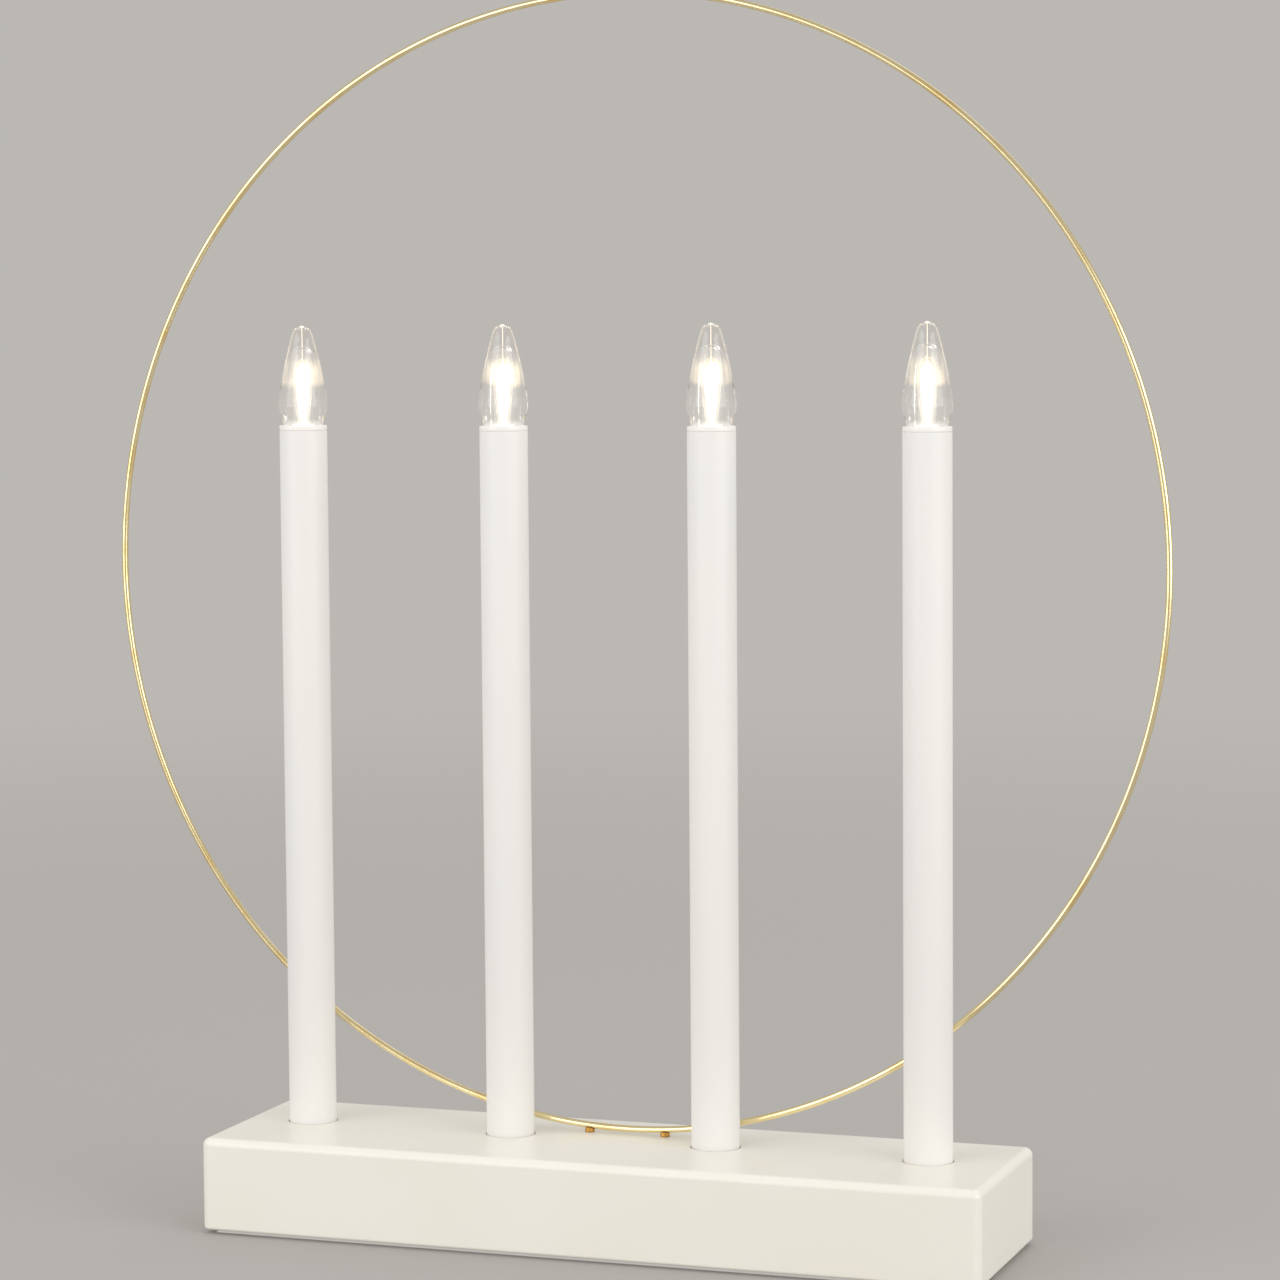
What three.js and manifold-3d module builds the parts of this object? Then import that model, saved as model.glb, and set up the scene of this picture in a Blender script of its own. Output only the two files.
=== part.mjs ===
// LED candle holder: four slim candles in a row on a painted wooden base, with a thin brass ring standing
// behind them. The base is routed out from below and holds three AA cells, a slide switch and a timer board.
// Millimetres, +Z up, front towards -Y. The origin is on the floor, under the middle of the base.
import * as THREE from "three";
import { mergeVertices } from "three/addons/utils/BufferGeometryUtils.js";
import Module from "manifold-3d";

// Gap left around a piece that sits in another one
const FIT = 0.3;
// How far a cutting or joining shape runs past the face that it goes through
const THROUGH = 1;

// Wooden base, routed from below from one outer candle to the other
const BASE_WIDTH = 302;
const BASE_DEPTH = 80;
const BASE_HEIGHT = 35;
const BASE_EDGE_RADIUS = 3;
const BASE_CORNER_EXTRA = 0.3;
const BASE_ROOF = 10;
const CAVITY_CORNER_RADIUS = 5;
const CAVITY_PAST_CANDLES = 5.5;

// Bottom plate, let into the base's underside, its screws in pillars of wood, and the rubber feet
const PLATE_THICKNESS = 3;
const PLATE_MARGIN = 4;
const PLATE_CORNER_RADIUS = 3;
const SCREW_LENGTH = 12;
const SCREW_THREAD_DIAMETER = 3;
const SCREW_HEAD_DIAMETER = 6;
const SCREW_HEAD_HEIGHT = 1.6;
const SCREW_RECESS_LENGTH = 4;
const SCREW_RECESS_WIDTH = 0.8;
const SCREW_RECESS_DEPTH = 0.9;
const SCREW_SPACING = 110;
const SCREW_FROM_PLATE_EDGE = 3.7;
const SCREW_PILLAR_DIAMETER = 9;
const FOOT_HEIGHT = 1.5;
const FOOT_DIAMETER = 12;
const FOOT_CHAMFER = 0.4;
const FOOT_INSET_X = 14;
const FOOT_INSET_Y = 13;

// Candles: a row of tubes, each with a cap, a small LED, a light guide over it and a clear flame
const CANDLE_COUNT = 4;
const CANDLE_FROM_BASE_END = 28.75;
const ROW_X = -2;
const ROW_Y = 4;
const TUBE_DIAMETER = 18;
const TUBE_WALL = 0.9;
const TUBE_ABOVE_BASE = 265;
const TUBE_SEAT_DEPTH = 6;
const LEAD_HOLE_DIAMETER = 5;
const CAP_THICKNESS = 1.9;
const CAP_SPIGOT_LENGTH = 5;
const CAP_SPIGOT_WALL = 1;
const CAP_BOSS_HEIGHT = 0.8;
const LED_DIAMETER = 3;
const LED_HEIGHT = 5.3;
const LED_FLANGE_DIAMETER = 3.8;
const LED_FLANGE_HEIGHT = 1;
const LED_LEG_LENGTH = 5;
const LED_LEG_WIDTH = 0.5;
const LED_LEG_PITCH = 2.54;
const GUIDE_FOOT_DIAMETER = 4.4;
const GUIDE_CLEARANCE = 0.5;
const GUIDE_HEADROOM = 5.6;
const FLAME_HEIGHT = 37.6;
const FLAME_DIAMETER = 18.6;
const FLAME_NECK_DIAMETER = 14.8;
const FLAME_BORE_DIAMETER = 8.8;
const FLAME_SOLID_TIP = 8;

// Ring of brass wire on two threaded studs
const RING_WIDTH = 412;
const RING_HEIGHT = 424;
const RING_WIRE_DIAMETER = 2.5;
const RING_ABOVE_BASE = 0.8;
const RING_BEHIND_TUBES = 1;
const STUD_PITCH = 30;
const STUD_DIAMETER = 2.5;
const STUD_COLLAR_DIAMETER = 3.6;
const STUD_CUP = 0.55;
const STUD_PAST_NUT = 1.2;
const NUT_ACROSS_CORNERS = 5.77;
const NUT_HEIGHT = 2;

// AA cells, side by side in a box that opens downwards
const CELL_COUNT = 3;
const CELL_DIAMETER = 14.2;
const CELL_LENGTH = 50;
const CELL_NUB_DIAMETER = 5.4;
const CELL_NUB_LENGTH = 1.1;
const CELL_EDGE = 0.6;
const CELL_SPACING = 0.6;
const BOX_WALL = 1.5;
const BOX_CLEARANCE = 0.6;
const BOX_FROM_BOARD = 10;
const CONTACT_THICKNESS = 0.4;
const CONTACT_WIDTH = 9;
const CONTACT_HEIGHT = 11;
const CONTACT_BUMP_DIAMETER = 5;
const CONTACT_BUMP_TOP_DIAMETER = 3.4;
const CONTACT_BUMP_HEIGHT = 0.8;
const CONTACT_TAB_WIDTH = 3;
const CONTACT_TAB_ABOVE_BOX = 2;
const SPRING_LENGTH = 5;
const SPRING_BASE_DIAMETER = 8;
const SPRING_TOP_DIAMETER = 5;
const SPRING_WIRE = 0.8;
const SPRING_TURNS = 3;
const SPRING_SUNK = 0.1;

// Battery cover, which turns on two stub pins and opens downwards
const COVER_THICKNESS = 2.4;
const COVER_BARREL_RADIUS = 2.2;
const COVER_CLEARANCE = 0.4;
const COVER_UNDER_CELLS = 0.4;
const HINGE_ROOM = 8;
const PIN_DIAMETER = 2.2;
const PIN_LENGTH = 3;
const LUG_WALL = 1.3;
const LUG_LENGTH = 4;
const LATCH_WIDTH = 12;
const LATCH_LENGTH = 8;
const LATCH_SLOT = 0.8;
const LATCH_RIDGE_WIDTH = 8;
const LATCH_RIDGE_DEPTH = 1.6;
const LATCH_RIDGE_HEIGHT = 0.6;
const LATCH_RIDGE_INSET = 3.2;
const FINGER_NOTCH_RADIUS = 6;
const FINGER_NOTCH_DEPTH = 1.4;

// Timer board with its slide switch
const BOARD_WIDTH = 36;
const BOARD_DEPTH = 22;
const BOARD_THICKNESS = 1.6;
const BOARD_Y = -8;
const BOARD_POST_HEIGHT = 5;
const BOARD_POST_DIAMETER = 5;
const BOARD_POST_INSET = 3;
const BOARD_SCREW_DIAMETER = 1.8;
const BOARD_SCREW_LENGTH = 5.4;
const BOARD_SCREW_HEAD_DIAMETER = 3.6;
const BOARD_SCREW_HEAD_HEIGHT = 1.3;
const SWITCH_WIDTH = 13;
const SWITCH_DEPTH = 6.5;
const SWITCH_FORWARD = 3;
const KNOB_WIDTH = 4;
const KNOB_DEPTH = 3;
const KNOB_TRAVEL = 2;
const KNOB_CLEARANCE = 0.4;
const KNOB_BELOW_PLATE = 0.3;
const KNOB_IN_SWITCH = 2.4;
const KNOB_GROOVE = 0.5;
const KNOB_GROOVE_PITCH = 1.15;
const SWITCH_WELL_WIDTH = 18;
const SWITCH_WELL_DEPTH = 10;
const SWITCH_WELL_HEIGHT = 1;
const CHIP_WIDTH = 5;
const CHIP_DEPTH = 4;
const CHIP_HEIGHT = 1.5;
const CHIP_LEG_WIDTH = 0.5;
const CHIP_LEG_PITCH = 1.27;
const CHIP_LEG_REACH = 1;
const CHIP_PLACE = 3;
const CAPACITOR_DIAMETER = 5;
const CAPACITOR_HEIGHT = 7;
const CAPACITOR_EDGE = 0.4;
const CAPACITOR_PLACE = -6;
const LED_PAD_INSET = 5;
const BATTERY_PAD_INSET = 1.5;

// Leads: the outer candles' lane lies in front of the board's middle, the other lanes behind it
const LED_LEAD_WIDTH = 2;
const LED_LEAD_THICKNESS = 1;
const LEAD_DIAMETER = 1.6;
const LEAD_BEND_RADIUS = 4;
const LEAD_END_GAP = 0.3;
const OUTER_LANE = -6;
const INNER_LANE = 1;
const BLACK_LANE = 4.5;

// Heights and places that follow from the sizes above
const BASE_TOP = FOOT_HEIGHT + BASE_HEIGHT;
const PLATE_TOP = FOOT_HEIGHT + PLATE_THICKNESS;
const CAVITY_ROOF = BASE_TOP - BASE_ROOF;
const TUBE_BOTTOM = BASE_TOP - TUBE_SEAT_DEPTH;
const TUBE_TOP = BASE_TOP + TUBE_ABOVE_BASE;
const CAP_TOP = TUBE_TOP + CAP_THICKNESS;
const FLAME_BORE_HEIGHT = FLAME_HEIGHT - FLAME_SOLID_TIP;
const GUIDE_HEIGHT = FLAME_BORE_HEIGHT - GUIDE_HEADROOM;
const GUIDE_DIAMETER = FLAME_BORE_DIAMETER - 2 * GUIDE_CLEARANCE;
const RING_Y = ROW_Y + TUBE_DIAMETER / 2 + RING_BEHIND_TUBES + RING_WIRE_DIAMETER / 2;
const RING_BOTTOM = BASE_TOP + RING_ABOVE_BASE + RING_WIRE_DIAMETER / 2;
const RING_CENTRE_Z = RING_BOTTOM + RING_HEIGHT / 2;
const SCREW_Y = BASE_DEPTH / 2 - PLATE_MARGIN - FIT - SCREW_FROM_PLATE_EDGE;
const CANDLE_PITCH = (BASE_WIDTH - 2 * CANDLE_FROM_BASE_END) / (CANDLE_COUNT - 1);
const candleX = (index) => ROW_X + (index - (CANDLE_COUNT - 1) / 2) * CANDLE_PITCH;

const CELL_PITCH = CELL_DIAMETER + CELL_SPACING;
const CELL_Z = FOOT_HEIGHT + COVER_THICKNESS + COVER_UNDER_CELLS + CELL_DIAMETER / 2;
const CONTACT_POCKET = CONTACT_THICKNESS + 2 * FIT;
const PLUS_END = FIT + CONTACT_THICKNESS + CONTACT_BUMP_HEIGHT + FIT;
const MINUS_END = FIT + CONTACT_THICKNESS + SPRING_LENGTH + FIT;
const BOX_HALF_LENGTH = (PLUS_END + CELL_LENGTH + MINUS_END) / 2;
const BOX_HALF_DEPTH = ((CELL_COUNT - 1) * CELL_PITCH + CELL_DIAMETER) / 2 + FIT;
const BOX_TOP = CELL_Z + CELL_DIAMETER / 2 + FIT + BOX_WALL;
const CAVITY_WIDTH = (CANDLE_COUNT - 1) * CANDLE_PITCH + 2 * CAVITY_PAST_CANDLES;
const CAVITY_DEPTH = BOX_CLEARANCE + 2 * (BOX_HALF_DEPTH + BOX_WALL) + HINGE_ROOM;
const BOX_X = ROW_X - BOARD_WIDTH / 2 - BOX_FROM_BOARD - BOX_WALL - BOX_HALF_LENGTH;
const BOX_Y = CAVITY_DEPTH / 2 - BOX_CLEARANCE - BOX_WALL - BOX_HALF_DEPTH;
const cellY = (index) => BOX_Y + (index - (CELL_COUNT - 1) / 2) * CELL_PITCH;
const COVER_AXIS_Y = BOX_Y - BOX_HALF_DEPTH - BOX_WALL - COVER_CLEARANCE - COVER_BARREL_RADIUS;
const COVER_AXIS_Z = FOOT_HEIGHT + COVER_BARREL_RADIUS;
const MOUTH_FRONT = COVER_AXIS_Y - COVER_BARREL_RADIUS - FIT;
const MOUTH_BACK = BOX_Y + BOX_HALF_DEPTH;

const BOARD_X = ROW_X;
const BOARD_BOTTOM = PLATE_TOP + BOARD_POST_HEIGHT;
const BOARD_TOP = BOARD_BOTTOM + BOARD_THICKNESS;
const BOARD_POST_Y = BOARD_Y + BOARD_DEPTH / 2 - BOARD_POST_INSET;
const boardPostX = (side) => BOARD_X + side * (BOARD_WIDTH / 2 - BOARD_POST_INSET);
const BATTERY_PAD_X = BOARD_X - BOARD_WIDTH / 2 + BATTERY_PAD_INSET;
const SWITCH_Y = BOARD_Y - SWITCH_FORWARD;
const UPPER_LANE_Z = (BOX_TOP + CAVITY_ROOF) / 2;
const BATTERY_LANE_Z = BOX_TOP + FIT + LEAD_DIAMETER / 2;

// Faces around each round shape, coarse where it is small or hidden
const SIDES_LARGE = 24;
const SIDES_MEDIUM = 16;
const SIDES_SMALL = 10;
const RING_STEPS = 80;
const RING_SIDES = 8;

function finish(color, roughness, metalness = 0) {
  return new THREE.MeshStandardMaterial({ color, roughness, metalness });
}

const PAINT = finish(0xe9e6db, 0.35);
const CANDLE_WHITE = finish(0xf0eeea, 0.5);
const CAP_WHITE = finish(0xf6f3ee, 0.35);
const BRASS = finish(0xd9b45a, 0.18, 1);
const WARM_LIGHT = finish(0xffe9b8, 0.3);
const CLEAR = finish(0xf7f4ee, 0.05);
CLEAR.transparent = true;
CLEAR.opacity = 0.35;
const WHITE_PLASTIC = finish(0xdedbd2, 0.55);
const BLACK_PLASTIC = finish(0x1c1c1e, 0.5);
const RUBBER = finish(0x6f6c68, 0.9);
const STEEL = finish(0xb9bbbd, 0.3, 1);
const CELL_SLEEVE = finish(0x3a4652, 0.35);
const BOARD_GREEN = finish(0x1f6b3d, 0.45);
const RED_LEAD = finish(0xb3241c, 0.5);
const BLACK_LEAD = finish(0x1a1a1a, 0.5);
const WHITE_LEAD = finish(0xe4e2dc, 0.5);

const wasm = await Module();
wasm.setup();

/** A closed geometry as a solid that can be joined and cut. */
function solid(geometry) {
  const bare = geometry.clone();
  bare.deleteAttribute("normal");
  bare.deleteAttribute("uv");
  const merged = mergeVertices(bare, 1e-4);
  return new wasm.Manifold(
    new wasm.Mesh({
      numProp: 3,
      vertProperties: merged.getAttribute("position").array,
      triVerts: new Uint32Array(merged.index.array),
    }),
  );
}

/** A solid back as a geometry. */
function geometryOf(body) {
  const { vertProperties, triVerts } = body.getMesh();
  const geometry = new THREE.BufferGeometry();
  geometry.setAttribute("position", new THREE.BufferAttribute(vertProperties, 3));
  return geometry.setIndex(new THREE.BufferAttribute(triVerts, 1));
}

const join = (...geometries) => geometries.map(solid).reduce((whole, piece) => whole.add(piece));
const cut = (body, ...tools) => tools.map(solid).reduce((whole, tool) => whole.subtract(tool), body);

/** A box between two opposite corners. */
function boxBetween([x0, y0, z0], [x1, y1, z1]) {
  const box = new THREE.BoxGeometry(x1 - x0, y1 - y0, z1 - z0);
  return box.translate((x0 + x1) / 2, (y0 + y1) / 2, (z0 + z1) / 2);
}

/** An upright round bar, or a cone when the top radius differs. */
function upright(radius, z0, z1, x = 0, y = 0, sides = SIDES_MEDIUM, topRadius = radius) {
  const bar = new THREE.CylinderGeometry(topRadius, radius, z1 - z0, sides);
  return bar.rotateX(Math.PI / 2).translate(x, y, (z0 + z1) / 2);
}

/** A round bar along X. */
function crosswise(radius, x0, x1, y, z, sides = SIDES_MEDIUM) {
  const bar = new THREE.CylinderGeometry(radius, radius, x1 - x0, sides);
  return bar.rotateZ(Math.PI / 2).translate((x0 + x1) / 2, y, z);
}

/** A turned shape about the Z axis, from [radius, height] points that go up the outside. */
function turned(outline, sides = SIDES_MEDIUM) {
  const points = outline.map(([radius, height]) => new THREE.Vector2(radius, height));
  return new THREE.LatheGeometry(points, sides).rotateX(Math.PI / 2);
}

/** A rectangle with round corners, centred on the origin. */
function roundedRectangle(width, depth, radius) {
  const [x, y] = [width / 2 - radius, depth / 2 - radius];
  const shape = new THREE.Shape();
  shape.absarc(x, y, radius, 0, Math.PI / 2);
  shape.absarc(-x, y, radius, Math.PI / 2, Math.PI);
  shape.absarc(-x, -y, radius, Math.PI, 1.5 * Math.PI);
  shape.absarc(x, -y, radius, 1.5 * Math.PI, 2 * Math.PI);
  return shape;
}

/** A plate or pocket with round corners between two heights. */
function roundedSlab(width, depth, radius, z0, z1) {
  const shape = roundedRectangle(width, depth, radius);
  const slab = new THREE.ExtrudeGeometry(shape, { depth: z1 - z0, bevelEnabled: false, curveSegments: 4 });
  return slab.translate(0, 0, z0);
}

/** A lead's route: straight runs between corners, with each corner rounded by a few close points. */
class Route extends THREE.Curve {
  constructor(corners, bendRadius = LEAD_BEND_RADIUS, bendSteps = 4) {
    super();
    const points = corners.map((corner) => new THREE.Vector3(...corner));
    this.points = [points[0]];
    for (let i = 1; i < points.length - 1; i += 1) {
      const corner = points[i];
      const ends = [points[i - 1], points[i + 1]].map((other) => {
        const along = other.clone().sub(corner).normalize();
        return corner.clone().addScaledVector(along, bendRadius);
      });
      const bend = new THREE.QuadraticBezierCurve3(ends[0], corner, ends[1]);
      this.points.push(...bend.getPoints(bendSteps));
    }
    this.points.push(points.at(-1));
  }

  getPoint(t, target = new THREE.Vector3()) {
    const place = t * (this.points.length - 1);
    const i = Math.min(Math.floor(place), this.points.length - 2);
    return target.lerpVectors(this.points[i], this.points[i + 1], place - i);
  }

  getPointAt(t, target) {
    return this.getPoint(t, target);
  }

  getTangentAt(t, target) {
    return this.getTangent(t, target);
  }
}

/** A lead of the given section along a list of corners. */
function lead(corners, section) {
  const route = new Route(corners);
  const steps = route.points.length - 1;
  return new THREE.ExtrudeGeometry(section, { extrudePath: route, steps, curveSegments: 2 });
}

const roundSection = (diameter) => new THREE.Shape().absarc(0, 0, diameter / 2, 0, 2 * Math.PI);

function flatSection(width, thickness) {
  const [x, y] = [width / 2, thickness / 2];
  return new THREE.Shape([
    new THREE.Vector2(-x, -y),
    new THREE.Vector2(x, -y),
    new THREE.Vector2(x, y),
    new THREE.Vector2(-x, y),
  ]);
}

/** An oval hoop of round wire, upright in the XZ plane about the origin. */
function ovalHoop(width, height, wire) {
  const positions = [];
  const faces = [];
  for (let step = 0; step < RING_STEPS; step += 1) {
    const turn = (2 * Math.PI * step) / RING_STEPS;
    const centre = new THREE.Vector3((width / 2) * Math.cos(turn), 0, (height / 2) * Math.sin(turn));
    const outward = new THREE.Vector3(Math.cos(turn) / width, 0, Math.sin(turn) / height).normalize();
    for (let side = 0; side < RING_SIDES; side += 1) {
      const around = (2 * Math.PI * side) / RING_SIDES;
      const point = centre.clone().addScaledVector(outward, (wire / 2) * Math.cos(around));
      positions.push(point.x, (wire / 2) * Math.sin(around), point.z);
      const next = (side + 1) % RING_SIDES;
      const [a, b] = [step * RING_SIDES, ((step + 1) % RING_STEPS) * RING_SIDES];
      faces.push(a + side, b + next, b + side, a + side, a + next, b + next);
    }
  }
  const hoop = new THREE.BufferGeometry();
  hoop.setAttribute("position", new THREE.Float32BufferAttribute(positions, 3));
  return hoop.setIndex(faces);
}

const holder = new THREE.Group();

/** Adds one named piece to the holder, from a geometry or a solid. */
function add(name, shape, material, group = holder) {
  const geometry = shape.isBufferGeometry ? shape : geometryOf(shape);
  const piece = new THREE.Mesh(geometry, material);
  piece.name = name;
  group.add(piece);
}

/** The places of the screws that hold the bottom plate, as [x, y]. */
function plateScrewPlaces() {
  const xs = [-SCREW_SPACING, 0, SCREW_SPACING];
  return xs.flatMap((x) => [[x, -SCREW_Y], [x, SCREW_Y]]);
}

/** The base's outer form: round top edges, upright edges a little rounder, and a sharp bottom edge. */
function baseBlank() {
  const inset = BASE_EDGE_RADIUS;
  const shape = roundedRectangle(BASE_WIDTH - 2 * inset, BASE_DEPTH - 2 * inset, BASE_CORNER_EXTRA);
  const blank = new THREE.ExtrudeGeometry(shape, {
    depth: BASE_HEIGHT - inset,
    bevelSize: inset,
    bevelThickness: inset,
    bevelSegments: 3,
    curveSegments: 4,
  });
  const below = boxBetween([-BASE_WIDTH, -BASE_DEPTH, -BASE_HEIGHT], [BASE_WIDTH, BASE_DEPTH, FOOT_HEIGHT]);
  return cut(solid(blank.translate(0, 0, FOOT_HEIGHT)), below);
}

/** What the router takes out below: the plate's rebate, and the cavity around the pillars for the screws. */
function routedSpace() {
  const rebateWidth = BASE_WIDTH - 2 * PLATE_MARGIN;
  const rebateDepth = BASE_DEPTH - 2 * PLATE_MARGIN;
  const rebate = roundedSlab(rebateWidth, rebateDepth, PLATE_CORNER_RADIUS + FIT, 0, PLATE_TOP);
  const cavity = roundedSlab(CAVITY_WIDTH, CAVITY_DEPTH, CAVITY_CORNER_RADIUS, 0, CAVITY_ROOF);
  const pillars = plateScrewPlaces().map(([x, y]) =>
    upright(SCREW_PILLAR_DIAMETER / 2, -THROUGH, BASE_TOP, x, y));
  return cut(solid(cavity.translate(ROW_X, 0, 0)), ...pillars).add(solid(rebate));
}

/** The block of wood: rounded above, routed below, bored for the tubes, the studs and the screws. */
function baseBlock() {
  const seats = [];
  for (let i = 0; i < CANDLE_COUNT; i += 1) {
    const x = candleX(i);
    seats.push(upright(TUBE_DIAMETER / 2 + FIT, TUBE_BOTTOM, BASE_TOP + THROUGH, x, ROW_Y, SIDES_LARGE));
    seats.push(upright(LEAD_HOLE_DIAMETER / 2, CAVITY_ROOF - THROUGH, BASE_TOP, x, ROW_Y));
  }
  const studHoles = [-1, 1].map((side) => {
    const x = (side * STUD_PITCH) / 2;
    return upright(STUD_DIAMETER / 2 + FIT, CAVITY_ROOF - THROUGH, BASE_TOP + THROUGH, x, RING_Y);
  });
  const pilotTop = FOOT_HEIGHT + SCREW_LENGTH + FIT;
  const pilots = plateScrewPlaces().map(([x, y]) =>
    upright(SCREW_THREAD_DIAMETER / 2 + FIT, PLATE_TOP - THROUGH, pilotTop, x, y, SIDES_SMALL));
  return cut(baseBlank().subtract(routedSpace()), ...seats, ...studHoles, ...pilots);
}

/** The lugs of the plate that hold the cover's pins. */
function coverLugs() {
  const radius = PIN_DIAMETER / 2 + FIT + LUG_WALL;
  return [-1, 1].map((side) => {
    const mouthEnd = BOX_X + side * BOX_HALF_LENGTH;
    const [near, far] = [mouthEnd, mouthEnd + side * LUG_LENGTH].sort((a, b) => a - b);
    const front = [near, COVER_AXIS_Y - radius, PLATE_TOP - THROUGH];
    return boxBetween(front, [far, COVER_AXIS_Y + radius - FIT, COVER_AXIS_Z + radius]);
  });
}

/** The plate under the base: the battery mouth, the cover's lugs, the board's posts and the switch well. */
function bottomPlate() {
  const width = BASE_WIDTH - 2 * PLATE_MARGIN - 2 * FIT;
  const depth = BASE_DEPTH - 2 * PLATE_MARGIN - 2 * FIT;
  const plate = roundedSlab(width, depth, PLATE_CORNER_RADIUS, FOOT_HEIGHT, PLATE_TOP);
  const posts = [-1, 1].map((side) =>
    upright(BOARD_POST_DIAMETER / 2, PLATE_TOP - THROUGH, BOARD_BOTTOM, boardPostX(side), BOARD_POST_Y));
  const mouthFront = [BOX_X - BOX_HALF_LENGTH, MOUTH_FRONT, 0];
  const mouth = boxBetween(mouthFront, [BOX_X + BOX_HALF_LENGTH, MOUTH_BACK, BASE_TOP]);
  const pinHole = PIN_DIAMETER / 2 + FIT;
  const pinReach = BOX_HALF_LENGTH + PIN_LENGTH + FIT - COVER_CLEARANCE;
  const pinHoles = crosswise(pinHole, BOX_X - pinReach, BOX_X + pinReach, COVER_AXIS_Y, COVER_AXIS_Z);
  const notch = upright(FINGER_NOTCH_RADIUS, 0, FOOT_HEIGHT + FINGER_NOTCH_DEPTH, BOX_X, MOUTH_BACK);
  const slotHalf = KNOB_WIDTH / 2 + KNOB_TRAVEL + KNOB_CLEARANCE;
  const slotSide = KNOB_DEPTH / 2 + KNOB_CLEARANCE;
  const slotFront = [BOARD_X - slotHalf, SWITCH_Y - slotSide, 0];
  const slot = boxBetween(slotFront, [BOARD_X + slotHalf, SWITCH_Y + slotSide, PLATE_TOP + THROUGH]);
  const wellTop = FOOT_HEIGHT + SWITCH_WELL_HEIGHT;
  const well = roundedSlab(SWITCH_WELL_WIDTH, SWITCH_WELL_DEPTH, PLATE_CORNER_RADIUS, 0, wellTop);
  const postHole = BOARD_SCREW_DIAMETER / 2 + FIT;
  const postHoles = [-1, 1].map((side) =>
    upright(postHole, PLATE_TOP, BOARD_TOP, boardPostX(side), BOARD_POST_Y, SIDES_SMALL));
  const [head, shank] = [SCREW_HEAD_DIAMETER / 2 + FIT, SCREW_THREAD_DIAMETER / 2 + FIT];
  const headTop = FOOT_HEIGHT + SCREW_HEAD_HEIGHT;
  const screwHoles = plateScrewPlaces().flatMap(([x, y]) => [
    upright(shank, 0, PLATE_TOP + THROUGH, x, y, SIDES_SMALL),
    upright(head, FOOT_HEIGHT, headTop, x, y, SIDES_MEDIUM, shank),
  ]);
  const cutters = [mouth, pinHoles, notch, slot, well.translate(BOARD_X, SWITCH_Y, 0)];
  return cut(join(plate, ...coverLugs(), ...posts), ...cutters, ...postHoles, ...screwHoles);
}

/** A countersunk wood screw, head down, with a cross recess. */
function plateScrew(x, y) {
  const [head, thread] = [SCREW_HEAD_DIAMETER / 2, SCREW_THREAD_DIAMETER / 2];
  const body = turned([
    [0, FOOT_HEIGHT],
    [head, FOOT_HEIGHT],
    [thread, FOOT_HEIGHT + SCREW_HEAD_HEIGHT],
    [thread, FOOT_HEIGHT + SCREW_LENGTH - SCREW_THREAD_DIAMETER],
    [0, FOOT_HEIGHT + SCREW_LENGTH],
  ], SIDES_SMALL);
  const [long, short] = [SCREW_RECESS_LENGTH / 2, SCREW_RECESS_WIDTH / 2];
  const recessTop = FOOT_HEIGHT + SCREW_RECESS_DEPTH;
  const cross = [[long, short], [short, long]].map(([halfX, halfY]) =>
    boxBetween([-halfX, -halfY, 0], [halfX, halfY, recessTop]));
  return geometryOf(cut(solid(body), ...cross)).translate(x, y, 0);
}

/** A rubber foot with a small chamfer below. */
function foot(x, y) {
  const radius = FOOT_DIAMETER / 2;
  return turned([[0, 0], [radius - FOOT_CHAMFER, 0], [radius, FOOT_CHAMFER], [radius, FOOT_HEIGHT],
    [0, FOOT_HEIGHT]]).translate(x, y, 0);
}

/** The box over the cells, open below, with a round cradle for each cell and slots for the solder tabs. */
function batteryBox() {
  const [halfLength, halfDepth] = [BOX_HALF_LENGTH + BOX_WALL, BOX_HALF_DEPTH + BOX_WALL];
  const front = [BOX_X - halfLength, BOX_Y - halfDepth, PLATE_TOP];
  const block = boxBetween(front, [BOX_X + halfLength, BOX_Y + halfDepth, BOX_TOP]);
  const [inner, outer] = [BOX_X - BOX_HALF_LENGTH, BOX_X + BOX_HALF_LENGTH];
  const hollow = boxBetween([inner, BOX_Y - BOX_HALF_DEPTH, 0], [outer, BOX_Y + BOX_HALF_DEPTH, CELL_Z]);
  const cradles = [];
  for (let i = 0; i < CELL_COUNT; i += 1) {
    cradles.push(crosswise(CELL_DIAMETER / 2 + FIT, inner, outer, cellY(i), CELL_Z, SIDES_LARGE));
  }
  const pocketTop = CELL_Z + CONTACT_HEIGHT / 2 + FIT;
  const pockets = [-1, 1].map((side) => {
    const end = BOX_X + side * BOX_HALF_LENGTH;
    const [near, far] = [end, end - side * CONTACT_POCKET].sort((a, b) => a - b);
    return boxBetween([near, BOX_Y - BOX_HALF_DEPTH, 0], [far, BOX_Y + BOX_HALF_DEPTH, pocketTop]);
  });
  const tabSlots = [[1, cellY(0)], [-1, cellY(CELL_COUNT - 1)]].map(([side, y]) => {
    const end = BOX_X + side * BOX_HALF_LENGTH;
    const [near, far] = [end, end - side * CONTACT_POCKET].sort((a, b) => a - b);
    const half = CONTACT_TAB_WIDTH / 2 + FIT;
    return boxBetween([near, y - half, CELL_Z], [far, y + half, BOX_TOP + THROUGH]);
  });
  return cut(solid(block), hollow, ...cradles, ...pockets, ...tabSlots);
}

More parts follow.
